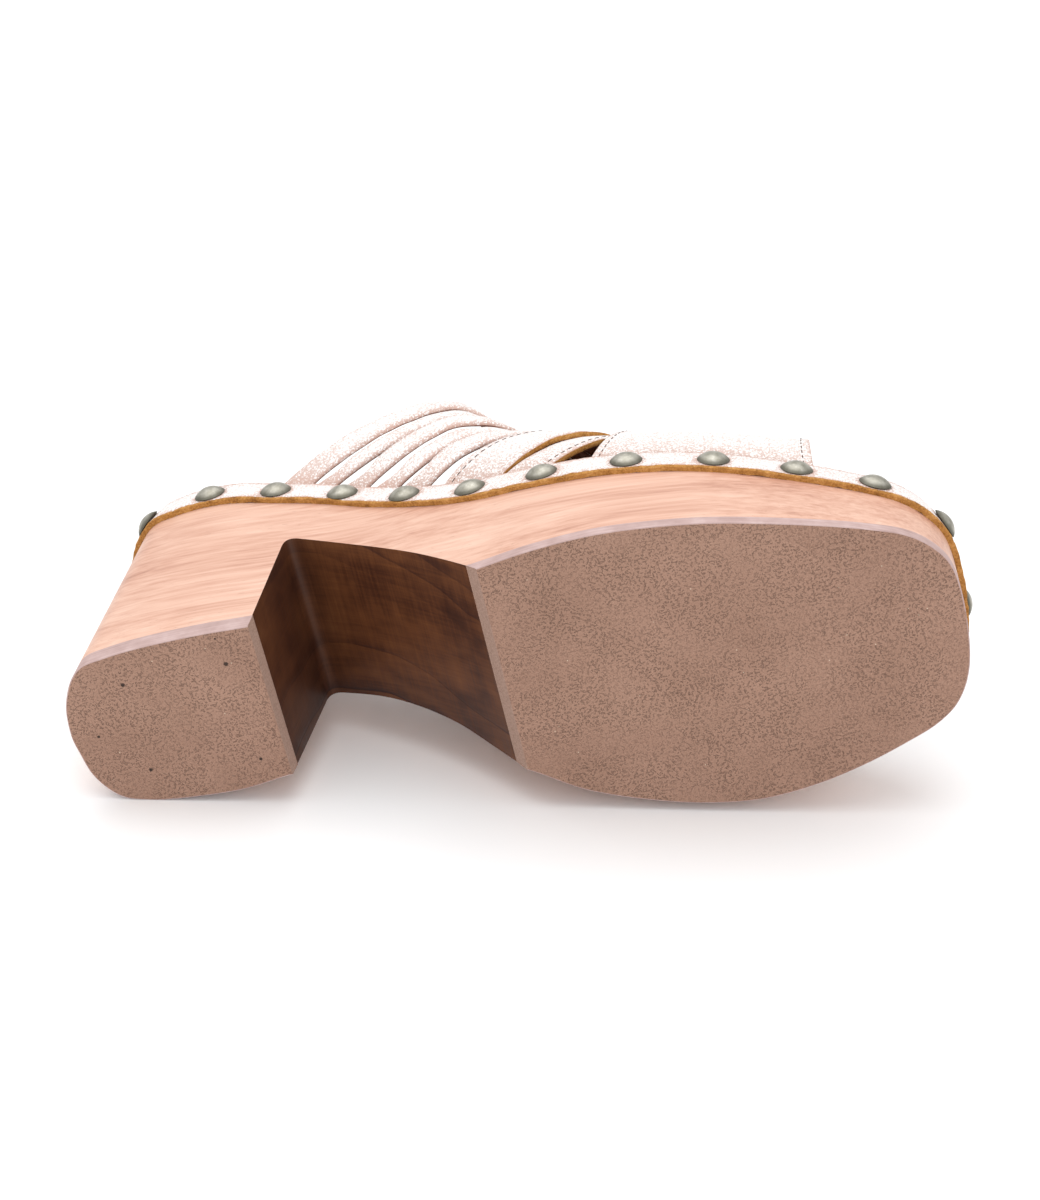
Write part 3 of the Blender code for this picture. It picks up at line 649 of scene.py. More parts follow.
def lining_leather():
    """Brown flesh side of the straps."""
    paint = Paint("lining_leather", 0.80)
    place = paint.place()
    fibre = paint.noise(place, 900.0, 4.0, 0.7)
    cloud = paint.noise(place, 120.0, 3.0, 0.6)
    colour = paint.ramp(fibre * 0.4 + cloud * 0.6, (
        (0.34, (0.150, 0.055, 0.030)), (0.52, (0.245, 0.098, 0.055)), (0.70, (0.340, 0.160, 0.095))))
    return paint.set(Base_Color=colour, Roughness=0.74 + fibre * 0.15,
                     Normal=paint.bump(fibre, 0.00018, 0.7))


def sock_leather():
    """Smooth brown leather under the foot, a little darker in its creases."""
    paint = Paint("sock_leather", 0.50, Specular_IOR_Level=0.40)
    place = paint.place()
    pores = paint.node("ShaderNodeTexVoronoi", {"feature": "F1"},
                       {"Vector": place, "Scale": 1300.0}, out="Distance")
    cloud = paint.noise(place, 45.0, 4.0, 0.6)
    colour = paint.ramp(cloud * 0.8 + pores * 0.2, (
        (0.30, (0.120, 0.050, 0.028)), (0.50, (0.190, 0.085, 0.048)), (0.70, (0.260, 0.128, 0.076))))
    return paint.set(Base_Color=colour, Roughness=0.42 + cloud * 0.2,
                     Normal=paint.bump(pores * 0.6 + cloud * 0.4, 0.00018, 0.5))


def aged_pewter():
    """Dull grey-green metal of the studs, darker at the foot of each dome."""
    paint = Paint("aged_pewter", 0.42, Metallic=0.85)
    place = paint.place()
    foot = paint.value("wear")
    cloud = paint.noise(place, 420.0, 4.0, 0.6)
    colour = paint.ramp(cloud, ((0.35, (0.295, 0.280, 0.230)), (0.55, (0.420, 0.402, 0.345)),
                                (0.70, (0.545, 0.525, 0.465))))
    colour = paint.mix(foot * 0.80, colour, (0.075, 0.068, 0.045))
    return paint.set(Base_Color=colour, Roughness=0.32 + cloud * 0.24 + foot * 0.2,
                     Normal=paint.bump(cloud, 0.00006, 0.5))


def brown_thread():
    """Dark brown sewing thread, twisted."""
    paint = Paint("brown_thread", 0.72)
    fibre = paint.noise(paint.place(), 2400.0, 3.0, 0.6)
    colour = paint.ramp(fibre, ((0.35, (0.045, 0.022, 0.016)), (0.65, (0.135, 0.075, 0.055))))
    return paint.set(Base_Color=colour, Normal=paint.bump(fibre, 0.00008, 0.8))


def studio_floor():
    """Plain white floor with a faint sheen."""
    paint = Paint("studio_floor", 0.38, Specular_IOR_Level=0.35)
    place = paint.node("ShaderNodeTexCoord", out="Object")
    cloud = paint.noise(place, 3.0, 2.0, 0.5)
    return paint.set(Base_Color=paint.mix(cloud, (0.90, 0.90, 0.905), (0.93, 0.93, 0.935)))


SANDED = sanded_wood()
STAINED = stained_wood()
TREAD = crumb_tread()
GROUND = ground_rubber()
CUT = cut_rubber()
WHITE = white_leather()
RAW = raw_leather()
LINING = lining_leather()
SOCK = sock_leather()
PEWTER = aged_pewter()
THREAD = brown_thread()
FLOOR = studio_floor()


def store_places(mesh, wear=None):
    """Keep each point's place on the shoe, and its wear, for the materials."""
    points = np.empty(len(mesh.vertices) * 3, np.float32)
    mesh.vertices.foreach_get("co", points)
    mesh.attributes.new("last", "FLOAT_VECTOR", "POINT").data.foreach_set("vector", points)
    if wear is not None:
        values = np.array(wear, np.float32)
        mesh.attributes.new("wear", "FLOAT", "POINT").data.foreach_set("value", values)


def in_scene(name, data):
    """New object in the scene."""
    made = bpy.data.objects.new(name, data)
    bpy.context.scene.collection.objects.link(made)
    return made


def settle(name, mesh, nodes, materials=(), angle=SMOOTH_ANGLE):
    """Lay a mesh in the shoe's directions down, and make it a piece that stands for solids."""
    for material in materials:
        mesh.materials.append(material)
    mesh.transform(LYING)
    mesh.shade_smooth()
    mesh.set_sharp_from_angle(angle=angle)
    mesh.update()
    piece = in_scene(name, mesh)
    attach(piece, "root")
    if nodes:
        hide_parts(*nodes)
    return piece


def as_mesh(name, work):
    """Turn a closed bmesh into a mesh whose faces point out."""
    bmesh.ops.recalc_face_normals(work, faces=work.faces)
    mesh = bpy.data.meshes.new(name)
    work.to_mesh(mesh)
    work.free()
    return mesh


def clean_mesh(name, work):
    """The same, once points that lie on each other are joined."""
    bmesh.ops.remove_doubles(work, verts=work.verts, dist=2e-6)
    return as_mesh(name, work)


def fill_rows(work, rows, material):
    """Faces between rows that have as many points each."""
    for near, far in zip(rows, rows[1:]):
        for k in range(len(near) - 1):
            work.faces.new((near[k], near[k + 1], far[k + 1], far[k])).material_index = material


def stack(name, rings, floor_z, top_z):
    """Closed solid from rings, lowest first. A ring is the outer and the inner side's points.

    floor_z and top_z give the height of the two caps between their edges. Faces of the lower
    cap get material 0, the sides material 1, the upper cap material 2 and flat ends material 3.
    """
    work = bmesh.new()
    loops = [[work.verts.new(p) for p in np.concatenate((outer, inner[::-1]))]
             for outer, inner in rings]
    half = len(rings[0][0])
    for low, high in zip(loops, loops[1:]):
        for i in range(2 * half - 1):
            if i != half - 1:
                work.faces.new((low[i], low[i + 1], high[i + 1], high[i])).material_index = 1
    across = (1 - np.cos(np.linspace(0, math.pi, ROW_POINTS + 1))) / 2
    caps = []
    for material, ring, loop, height in ((0, rings[0], loops[0], floor_z),
                                         (2, rings[-1], loops[-1], top_z)):
        rows = []
        for i, (outer, inner) in enumerate(zip(*ring)):
            row = [loop[i]]
            for share in across[1:-1]:
                x, y, _ = outer + (inner - outer) * share
                row.append(work.verts.new((x, y, height(x, y))))
            rows.append(row + [loop[2 * half - 1 - i]])
        fill_rows(work, rows, material)
        caps.append(rows)
    for end, a, b in ((0, 0, -1), (-1, half - 1, half)):
        if (loops[0][a].co - loops[0][b].co).length > GAP:
            rows = [caps[0][end]]
            for loop in loops[1:-1]:
                inside = [work.verts.new(loop[a].co.lerp(loop[b].co, share))
                          for share in across[1:-1]]
                rows.append([loop[a], *inside, loop[b]])
            rows.append(caps[1][end])
            fill_rows(work, rows, 3)
    return clean_mesh(name, work)


def arch_profile():
    """Side view of the gap under the waist: the heel's breast, a fillet and the arch's curve."""
    corner = np.array((HEEL_TREAD_LENGTH + BREAST_LEAN * BREAST_HEIGHT, BREAST_HEIGHT))
    foot = np.array((FORE_TREAD_START, 0.0))
    chord = foot - corner
    span = np.linalg.norm(chord)
    lift = np.array((-chord[1], chord[0])) / span
    radius = (span ** 2 / 4 + ARCH_BOW ** 2) / (2 * ARCH_BOW)
    middle = corner + chord / 2 + lift * (ARCH_BOW - radius)
    start = math.atan2(*(corner - middle)[::-1])
    end = math.atan2(*(foot - middle)[::-1])
    curve = [middle + radius * np.array((math.cos(a), math.sin(a)))
             for a in np.linspace(start, end, ARCH_POINTS)]
    reach = ARCH_FILLET * 1.3
    down = np.array((BREAST_LEAN, 1.0)) / math.hypot(BREAST_LEAN, 1.0)
    along = (curve[1] - corner) / np.linalg.norm(curve[1] - corner)
    fillet = [corner - down * reach * (1 - t) ** 2 + along * reach * t ** 2
              for t in np.linspace(0, 1, FILLET_POINTS)]
    beyond = foot + (foot - curve[-2]) / (curve[-2] - foot)[1] * CUTTER_REACH
    rest = [p for p in curve[1:] if np.linalg.norm(p - corner) > reach * 1.1]
    base = (HEEL_TREAD_LENGTH - BREAST_LEAN * CUTTER_REACH, -CUTTER_REACH)
    return [base] + [tuple(p) for p in fillet + rest] + [tuple(beyond)]


def arch_cutter():
    """Prism of the arch's profile, whose walls carry the dark stain."""
    work = bmesh.new()
    profile = arch_profile()
    rims = [[work.verts.new((x, y, z)) for x, z in profile] for y in (-BALL_WIDTH, BALL_WIDTH)]
    work.faces.new(rims[0])
    work.faces.new(rims[1][::-1])
    for i in range(len(profile)):
        j = (i + 1) % len(profile)
        work.faces.new((rims[0][i], rims[0][j], rims[1][j], rims[1][i]))
    mesh = clean_mesh("arch_cutter", work)
    mesh.materials.append(STAINED)
    return in_scene("arch_cutter", mesh)


RIM_STATIONS = stations(0.0, SOLE_LENGTH, 200)
REBATE = MARGIN_THICKNESS + GAP
RIMS = {side: edge(side, RIM_STATIONS, BAND_HEIGHT, -MARGIN_THICKNESS) for side in SIDES}
RIM_LOOP = np.concatenate([edge(side, RIM_STATIONS, BAND_HEIGHT, -REBATE) for side in SIDES])


def bed_z(x, y):
    """Height of the hollowed top of the wood."""
    reach = np.min(np.hypot(RIM_LOOP[:, 0] - x, RIM_LOOP[:, 1] - y))
    return side_height(x) + BAND_HEIGHT - BED_DEPTH * smooth(reach / BED_ROLL)


def wood_floor_z(x, y):
    """Height of the wood's underside, on the two rubber treads."""
    middle = (HEEL_TREAD_LENGTH + FORE_TREAD_START) / 2
    return (HEEL_RUBBER if x < middle else FORE_RUBBER) + SEAM + tread_z(x)


def flat_copy(piece):
    """The piece's mesh with its modifiers applied, and the piece gone."""
    bpy.context.view_layer.update()
    shape = piece.evaluated_get(bpy.context.evaluated_depsgraph_get())
    mesh = bpy.data.meshes.new_from_object(shape)
    bpy.data.objects.remove(piece)
    return mesh


def make_wood():
    """Platform and heel: pale sanded sides, dark stained arch."""
    x = stations(0.0, SOLE_LENGTH)
    floor = np.array([wood_floor_z(value, 0.0) for value in x])
    ledge = BAND_HEIGHT - MARGIN_LAP - GAP
    rings = []
    for share in np.linspace(0, 1, 10):
        ring = []
        for side in SIDES:
            top = edge(side, x, 0.0)[:, 2]
            ring.append(wall(side, x, floor + (top - floor) * share))
        rings.append(tuple(ring))
    middle = (ledge + BAND_HEIGHT) / 2
    for over, out in ((ledge, 0.0), (ledge, -REBATE), (middle, -REBATE), (BAND_HEIGHT, -REBATE)):
        rings.append(tuple(edge(side, x, over, out) for side in SIDES))
    mesh = stack("wooden_sole", rings, wood_floor_z, bed_z)
    mesh.materials.append(SANDED)
    for face in mesh.polygons:
        face.material_index = 0
    block = in_scene("wooden_sole", mesh)
    cutter = arch_cutter()
    step = block.modifiers.new("arch", "BOOLEAN")
    step.operation = "DIFFERENCE"
    step.solver = "EXACT"
    step.material_mode = "TRANSFER"
    step.object = cutter
    rounding = block.modifiers.new("soft_edges", "BEVEL")
    rounding.limit_method = "ANGLE"
    rounding.angle_limit = math.radians(50)
    rounding.width = WOOD_ROUND
    rounding.segments = 2
    mesh = flat_copy(block)
    bpy.data.objects.remove(cutter)
    mesh.name = "wooden_sole"
    store_places(mesh)
    return settle("wooden_sole", mesh, ["sole_wood"])


def rounded_sheet(name, ends, thick, lift, round_off):
    """Rubber sheet with a slightly rounded lower edge; ends gives x range at a height."""
    rings = []
    for z, out in ((0.0, -round_off), (round_off * 0.3, -round_off * 0.3), (round_off, 0.0),
                   (thick * 0.5, 0.0), (thick, 0.0)):
        x = stations(*ends(z))
        rings.append(tuple(wall(side, x, z + lift(x), out) for side in SIDES))
    return stack(name, rings, lambda x, y: float(lift(x)), lambda x, y: float(lift(x)) + thick)


def make_treads():
    """Heel top piece and forefoot sheet: crumb on the tread, ground edges."""
    profile = arch_profile()
    slope = (profile[-2][0] - profile[-1][0]) / (profile[-2][1] - profile[-1][1])
    pieces = (
        ("heel_top_piece", "outsole_heel", HEEL_RUBBER,
         lambda z: (0.0, HEEL_TREAD_LENGTH + BREAST_LEAN * z), lambda x: 0.0 * x),
        ("forefoot_sheet", "outsole_forefoot", FORE_RUBBER,
         lambda z: (FORE_TREAD_START + slope * z, SOLE_LENGTH), tread_z),
    )
    for name, node, thick, ends, lift in pieces:
        mesh = rounded_sheet(name, ends, thick, lift, RUBBER_ROUND)
        store_places(mesh)
        settle(name, mesh, [node], (TREAD, GROUND, GROUND, CUT))


def make_sock():
    """Leather sock on the hollowed wood."""
    x = stations(0.0, SOLE_LENGTH)
    rings = []
    for rise, inset in ((GAP * 0.3, 0.0), (SOCK_THICKNESS * 0.7, 0.0),
                        (GAP + SOCK_THICKNESS, SOCK_ROUND)):
        ring = []
        for side in SIDES:
            line = edge(side, x, BAND_HEIGHT, -REBATE - SOCK_INSET - inset)
            line[:, 2] = [bed_z(px, py) + rise for px, py, _ in line]
            ring.append(line)
        rings.append(tuple(ring))
    mesh = stack("sock", rings, lambda px, py: bed_z(px, py) + GAP * 0.3,
                 lambda px, py: bed_z(px, py) + GAP + SOCK_THICKNESS)
    store_places(mesh)
    return settle("sock", mesh, ["insole"], (LINING, RAW, SOCK))


def stud_seats():
    """Place and outward direction of each stud, from the heel's back round the toe and back."""
    x = stations(0.0, SOLE_LENGTH, PATH_POINTS)
    out = GAP + BAND_THICKNESS + STUD_STAND
    lines = []
    for over in (STUD_HEIGHT, STUD_HEIGHT + GAP):
        outer, inner = (edge(side, x, over, out) for side in SIDES)
        lines.append(np.concatenate((outer, inner[-2::-1])))
    path = lines[0]
    facing = np.cross(np.gradient(path, axis=0), lines[1] - path)
    facing /= np.linalg.norm(facing, axis=1)[:, None]
    length = np.concatenate(([0.0], np.cumsum(np.linalg.norm(np.diff(path, axis=0), axis=1))))
    rest = np.linspace(STUD_PLACES[-1], 1.0 + STUD_PLACES[0], INNER_STUDS + 2)[1:-1] % 1.0
    seats = []
    for place in np.concatenate((STUD_PLACES, rest)) * length[-1]:
        seats.append([np.array([np.interp(place, length, line[:, k]) for k in range(3)])
                      for line in (path, facing)])
    return seats


SEATS = stud_seats()


def belt(name, corners, stud_wear, count=BAND_STATIONS):
    """Closed band round the sole. corners: offset out, height over, material, wear of each line.

    stud_wear is 1 where the band is worn round its studs, else 0.
    """
    x = stations(0.0, SOLE_LENGTH, count)
    work = bmesh.new()
    wear_layer = work.verts.layers.float.new("wear")
    seats = np.array([seat[0] for seat in SEATS])
    rims = []
    for out, over, _, wear in corners:
        outer = edge("outer", x, over, out)
        inner = edge("inner", x, over, out)
        ring = np.concatenate((outer, inner[-2:0:-1]))
        verts = []
        for p in ring:
            gap = np.min(np.linalg.norm(seats - p, axis=1))
            vert = work.verts.new(p)
            worn = 0.75 * math.exp(-((gap - STUD_DIAMETER / 2) / STUD_WEAR) ** 2)
            vert[wear_layer] = max(wear, worn * stud_wear)
            verts.append(vert)
        rims.append(verts)
    size = len(rims[0])
    for k, (_, _, material, _) in enumerate(corners):
        here, there = rims[k], rims[(k + 1) % len(rims)]
        for i in range(size):
            j = (i + 1) % size
            work.faces.new((here[i], here[j], there[j], there[i])).material_index = material
    return as_mesh(name, work)


def make_margin():
    """Lasting margin: the feet of the straps, nailed flat into the rebate."""
    low, high = BAND_HEIGHT - MARGIN_LAP, BAND_HEIGHT
    corners = ((-MARGIN_THICKNESS, low, 1, 0.3), (0.0, low, 0, 0.3),
               (0.0, high - MARGIN_ROUND, 0, 0.8), (-MARGIN_ROUND, high, 0, 1.0),
               (-MARGIN_THICKNESS + MARGIN_ROUND, high, 1, 0.6),
               (-MARGIN_THICKNESS, high - MARGIN_ROUND, 1, 0.3))
    mesh = belt("lasting_margin", corners, 0.0, SIDE_STATIONS)
    store_places(mesh)
    return settle("lasting_margin", mesh, ["upper"], (WHITE, LINING))


def make_band():
    """Leather band round the sole: worn white face, raw golden-brown edges, dented at the studs."""
    back, face = GAP * 0.3, GAP + BAND_THICKNESS
    step = BAND_HEIGHT / 8
    corners = [(back, 0.0, 1, 1.0), (face - BAND_ROUND, 0.0, 1, 1.0), (face, BAND_ROUND, 1, 1.0),
               (face, RAW_LIP, 0, 0.9)]
    corners += [(face, step * k, 0, 0.35 if k in (1, 7) else 0.12) for k in range(1, 8)]
    corners += [(face, BAND_HEIGHT - BAND_ROUND, 0, 0.9), (face - BAND_ROUND, BAND_HEIGHT, 1, 1.0),
                (back, BAND_HEIGHT, 1, 1.0)]
    mesh = belt("rand_band_leather", corners, 1.0)
    seats = [Vector(seat[0]) for seat in SEATS]
    outs = [Vector(seat[1]) for seat in SEATS]
    for vert in mesh.vertices:
        shake = noise.noise(vert.co * 900.0) * BAND_FRAY + noise.noise(vert.co * 160.0) * BAND_FRAY
        under = vert.co.z - side_height(vert.co.x)
        if under < RAW_LIP:
            shake *= LIP_FRAY
        near = min(range(len(seats)), key=lambda k: (seats[k] - vert.co).length)
        gap = (seats[near] - vert.co).length
        dent = STUD_DENT * math.exp(-(gap / (STUD_DIAMETER * 0.62)) ** 2)
        vert.co += outs[near] * (shake - dent)
        vert.co.z += noise.noise(vert.co * 420.0) * BAND_FRAY
    store_places(mesh)
    return settle("rand_band_leather", mesh, ["rand_band"], (WHITE, RAW))


def dome_section(x):
    """Cross-section of the form at a length x: girth from the outer band to the inner band."""
    rise = np.interp(x / SOLE_LENGTH, DOME_LINE[:, 0], DOME_LINE[:, 1]) * INSTEP_RISE
    bulge = np.interp(x / SOLE_LENGTH, DOME_LINE[:, 0], DOME_LINE[:, 2]) * WAIST_BULGE
    ends = [[np.interp(x, RIMS[side][:, 0], RIMS[side][:, k]) for k in (1, 2)] for side in SIDES]
    middle = (ends[0][0] + ends[1][0]) / 2
    half = (ends[1][0] - ends[0][0]) / 2
    turn = np.linspace(0, math.pi, FORM_POINTS)
    up = np.sin(turn).clip(0) ** (2 / DOME_POWER)
    side = np.sign(np.cos(turn)) * np.abs(np.cos(turn)) ** (2 / DOME_POWER)
    y = middle - (half + bulge * (1 - (1 - up) ** 4)) * side
    return y, ends[0][1] + rise * up


def dome_point(x, share):
    """Point of the form at a share of its girth. Below 0 and over 1 it runs down inside the band."""
    y, z = dome_section(x)
    girth = np.concatenate(([0.0], np.cumsum(np.hypot(np.diff(y), np.diff(z)))))
    place = share * girth[-1]
    inside = np.clip(place, 0, girth[-1])
    drop = abs(inside - place)
    under = BAND_HEIGHT - drop
    tuck = SIDE_FLARE * drop - RIM_LEAN * drop - RIM_ROUND * (BAND_HEIGHT ** 2 - under ** 2)
    tuck *= 1 if share < 0.5 else -1
    return np.array((x, np.interp(inside, girth, y) + tuck, np.interp(inside, girth, z) - drop))


def strap_section(width, cut):
    """Columns across a strap, as distance from its rear edge, with half the thickness at each."""
    count = max(9, int(width / STRAP_COLUMN))
    inner = np.linspace(STRAP_THICKNESS * 0.8, width - STRAP_THICKNESS * 0.8, count)
    bend = STRAP_THICKNESS * 0.8 * (1 - np.cos(np.linspace(0, math.pi / 2, 6)[:-1]))
    tail = (width - bend[::-1]) if not cut else np.array([width - 0.0004, width - 0.0001, width])
    place = np.concatenate((bend, inner, tail))
    half = np.ones_like(place)
    half[:5] = np.sin(np.linspace(0, math.pi / 2, 6))[:-1].clip(0.12)
    if cut:
        half[-2:] = (0.97, 0.88)
    else:
        half[-5:] = np.sin(np.linspace(0, math.pi / 2, 6))[:-1].clip(0.12)[::-1]
    return place / width, half * STRAP_THICKNESS / 2


def pinch(share):
    """How far a strap is drawn in, close above the band at either end."""
    return math.exp(-((min(share, 1 - share) - PINCH_PLACE) / PINCH_REACH) ** 2)


def make_strap(name, rear_low, front_low, rear_top, front_top, level, ease, drawn, cut, sewn):
    """One strap from band to band, with turned-in or raw edges, and its stitch lines."""
    width = (front_low - rear_low) * SOLE_LENGTH
    across, half = strap_section(width, cut)
    lap = STRAP_LAP / FORM_GIRTH
    shares = np.concatenate(([-lap, -lap / 2], np.linspace(0, 1, STRAP_STATIONS + 1),
                             [1 + lap / 2, 1 + lap]))
    grid = np.zeros((len(shares), len(across), 3))
    for i, share in enumerate(shares):
        sweep = math.sin(math.pi * min(max(share, 0.0), 1.0)) ** SWEEP_POWER
        rear = (rear_low + (rear_top - rear_low) * sweep) * SOLE_LENGTH
        rear += drawn * width * pinch(share)
        front = (front_low + (front_top - front_low) * sweep) * SOLE_LENGTH
        for j, place in enumerate(across):
            grid[i, j] = dome_point(rear + (front - rear) * place, share)
    normals = np.cross(np.gradient(grid, axis=1), np.gradient(grid, axis=0))
    normals /= np.linalg.norm(normals, axis=2)[:, :, None]
    work = bmesh.new()
    wear_layer = work.verts.layers.float.new("wear")
    rings = []
    middle = np.zeros_like(grid)
    for i, share in enumerate(shares):
        clear = smooth(min(share, 1 - share) / ease)
        top, under = [], []
        foot = 0.85 * math.exp(-max(min(share, 1 - share), 0.0) * FORM_GIRTH / FOOT_WEAR)
        for j, place in enumerate(across):
            crown = STRAP_CROWN * clear * math.sin(math.pi * place) if width < CROWNED_WIDTH else 0.0
            ripple = noise.noise(Vector(grid[i, j]) * 190.0) * STRAP_RIPPLE * clear
            lift = STRAP_START + level * STRAP_THICKNESS * clear + STRAP_THICKNESS / 2
            centre = grid[i, j] + normals[i, j] * (lift + crown + ripple)
            middle[i, j] = centre + normals[i, j] * half[j]
            rim = min(place, 1 - place) * width
            wear = max(foot, 0.80 * math.exp(-rim / RIM_WEAR),
                       0.25 * math.exp(-rim / RIM_WEAR_FAINT))
            for side, row in ((1, top), (-1, under)):
                vert = work.verts.new(centre + normals[i, j] * half[j] * side)
                vert[wear_layer] = wear
                row.append(vert)
        rings.append((top, under))
    last = len(across) - 1
    for (top, under), (next_top, next_under) in zip(rings, rings[1:]):
        for j in range(last):
            work.faces.new((top[j], top[j + 1], next_top[j + 1], next_top[j])).material_index = 0
            low = work.faces.new((under[j + 1], under[j], next_under[j], next_under[j + 1]))
            low.material_index = 1
        work.faces.new((under[0], top[0], next_top[0], next_under[0])).material_index = 0
        rim_face = work.faces.new((top[last], under[last], next_under[last], next_top[last]))
        rim_face.material_index = 2 if cut else 0
    for top, under in (rings[0], rings[-1]):
        work.faces.new(top + under[::-1]).material_index = 2
    mesh = as_mesh(name, work)
    store_places(mesh)
    settle(name, mesh, ["upper"], (WHITE, LINING, RAW), math.radians(60))
    for inset, from_rear in zip(sewn, (True, False)):
        if inset:
            offset = STITCH_INSET / width
            stitch_place = offset if from_rear else 1 - offset
            make_stitches(name + ("_rear_stitches" if from_rear else "_front_stitches"),
                          middle, normals, across, stitch_place)


def in_tree(tree, kind, settings=None, sockets=None):
    """Add a geometry node with its settings and the values or links of its sockets."""
    made = tree.nodes.new(kind)
    for key, value in (settings or {}).items():
        setattr(made, key, value)
    for key, value in (sockets or {}).items():
        if isinstance(value, bpy.types.NodeSocket):
            tree.links.new(value, made.inputs[key])
        else:
            made.inputs[key].default_value = value
    return made


def new_tree(name, inputs):
    """Geometry tree with a geometry input, named number inputs and a geometry output."""
    tree = bpy.data.node_groups.new(name, "GeometryNodeTree")
    tree.interface.new_socket("Geometry", in_out="INPUT", socket_type="NodeSocketGeometry")
    tree.interface.new_socket("Geometry", in_out="OUTPUT", socket_type="NodeSocketGeometry")
    for title in inputs:
        tree.interface.new_socket(title, in_out="INPUT", socket_type="NodeSocketFloat")
    return tree, tree.nodes.new("NodeGroupInput"), tree.nodes.new("NodeGroupOutput")


def run_tree(name, tree, mesh, values):
    """Run a tree on a mesh and give the finished plain mesh."""
    carrier = in_scene(name, mesh)
    step = carrier.modifiers.new(name, "NODES")
    step.node_group = tree
    sockets = {item.name: item.identifier for item in tree.interface.items_tree
               if item.in_out == "INPUT"}
    for title, value in values.items():
        step[sockets[title]] = value
    return flat_copy(carrier)


def stitch_tree():
    """Stitches at an even pitch along a line, each a short thread lying flat on the leather."""
    tree, given, gives = new_tree("stitch_row", ("Pitch", "Length", "Thickness"))
    curve = in_tree(tree, "GeometryNodeMeshToCurve", None, {0: given.outputs["Geometry"]})
    spaced = in_tree(tree, "GeometryNodeResampleCurve", {"mode": "LENGTH"},
                     {"Curve": curve.outputs[0], "Length": given.outputs["Pitch"]})
    tangent = in_tree(tree, "GeometryNodeInputTangent")
    facing = in_tree(tree, "GeometryNodeInputNamedAttribute", {"data_type": "FLOAT_VECTOR"},
                     {"Name": "facing"})
    along = in_tree(tree, "FunctionNodeAlignRotationToVector", {"axis": "X"},
                    {"Vector": tangent.outputs[0]})
    flat = in_tree(tree, "FunctionNodeAlignRotationToVector", {"axis": "Z", "pivot_axis": "X"},
                   {"Rotation": along.outputs[0], "Vector": facing.outputs[0]})
    thread = in_tree(tree, "GeometryNodeMeshUVSphere", None,
                     {"Segments": 8, "Rings": 6, "Radius": 0.5})
    size = in_tree(tree, "ShaderNodeCombineXYZ", None,
                   {0: given.outputs["Length"], 1: given.outputs["Thickness"],
                    2: given.outputs["Thickness"]})
    stood = in_tree(tree, "GeometryNodeInstanceOnPoints", None,
                    {"Points": spaced.outputs[0], "Instance": thread.outputs["Mesh"],
                     "Rotation": flat.outputs[0], "Scale": size.outputs[0]})
    real = in_tree(tree, "GeometryNodeRealizeInstances", None, {0: stood.outputs[0]})
    painted = in_tree(tree, "GeometryNodeSetMaterial", None,
                      {"Geometry": real.outputs[0], "Material": THREAD})
    tree.links.new(painted.outputs[0], gives.inputs[0])
    return tree


STITCH_TREE = stitch_tree()


def make_stitches(name, surface, normals, across, place):
    """One row of stitches along a strap, at a share of its width."""
    points, ways = [], []
    for i in range(3, len(surface) - 3):
        points.append([np.interp(place, across, surface[i, :, k]) for k in range(3)])
        ways.append([np.interp(place, across, normals[i, :, k]) for k in range(3)])
    mesh = bpy.data.meshes.new(name)
    mesh.from_pydata(points, [(i, i + 1) for i in range(len(points) - 1)], [])
    facing = mesh.attributes.new("facing", "FLOAT_VECTOR", "POINT")
    facing.data.foreach_set("vector", np.array(ways, np.float32).ravel())
    sewn = run_tree(name, STITCH_TREE, mesh, {
        "Pitch": STITCH_PITCH, "Length": STITCH_LENGTH, "Thickness": STITCH_THICKNESS})
    store_places(sewn)
    return settle(name, sewn, [])


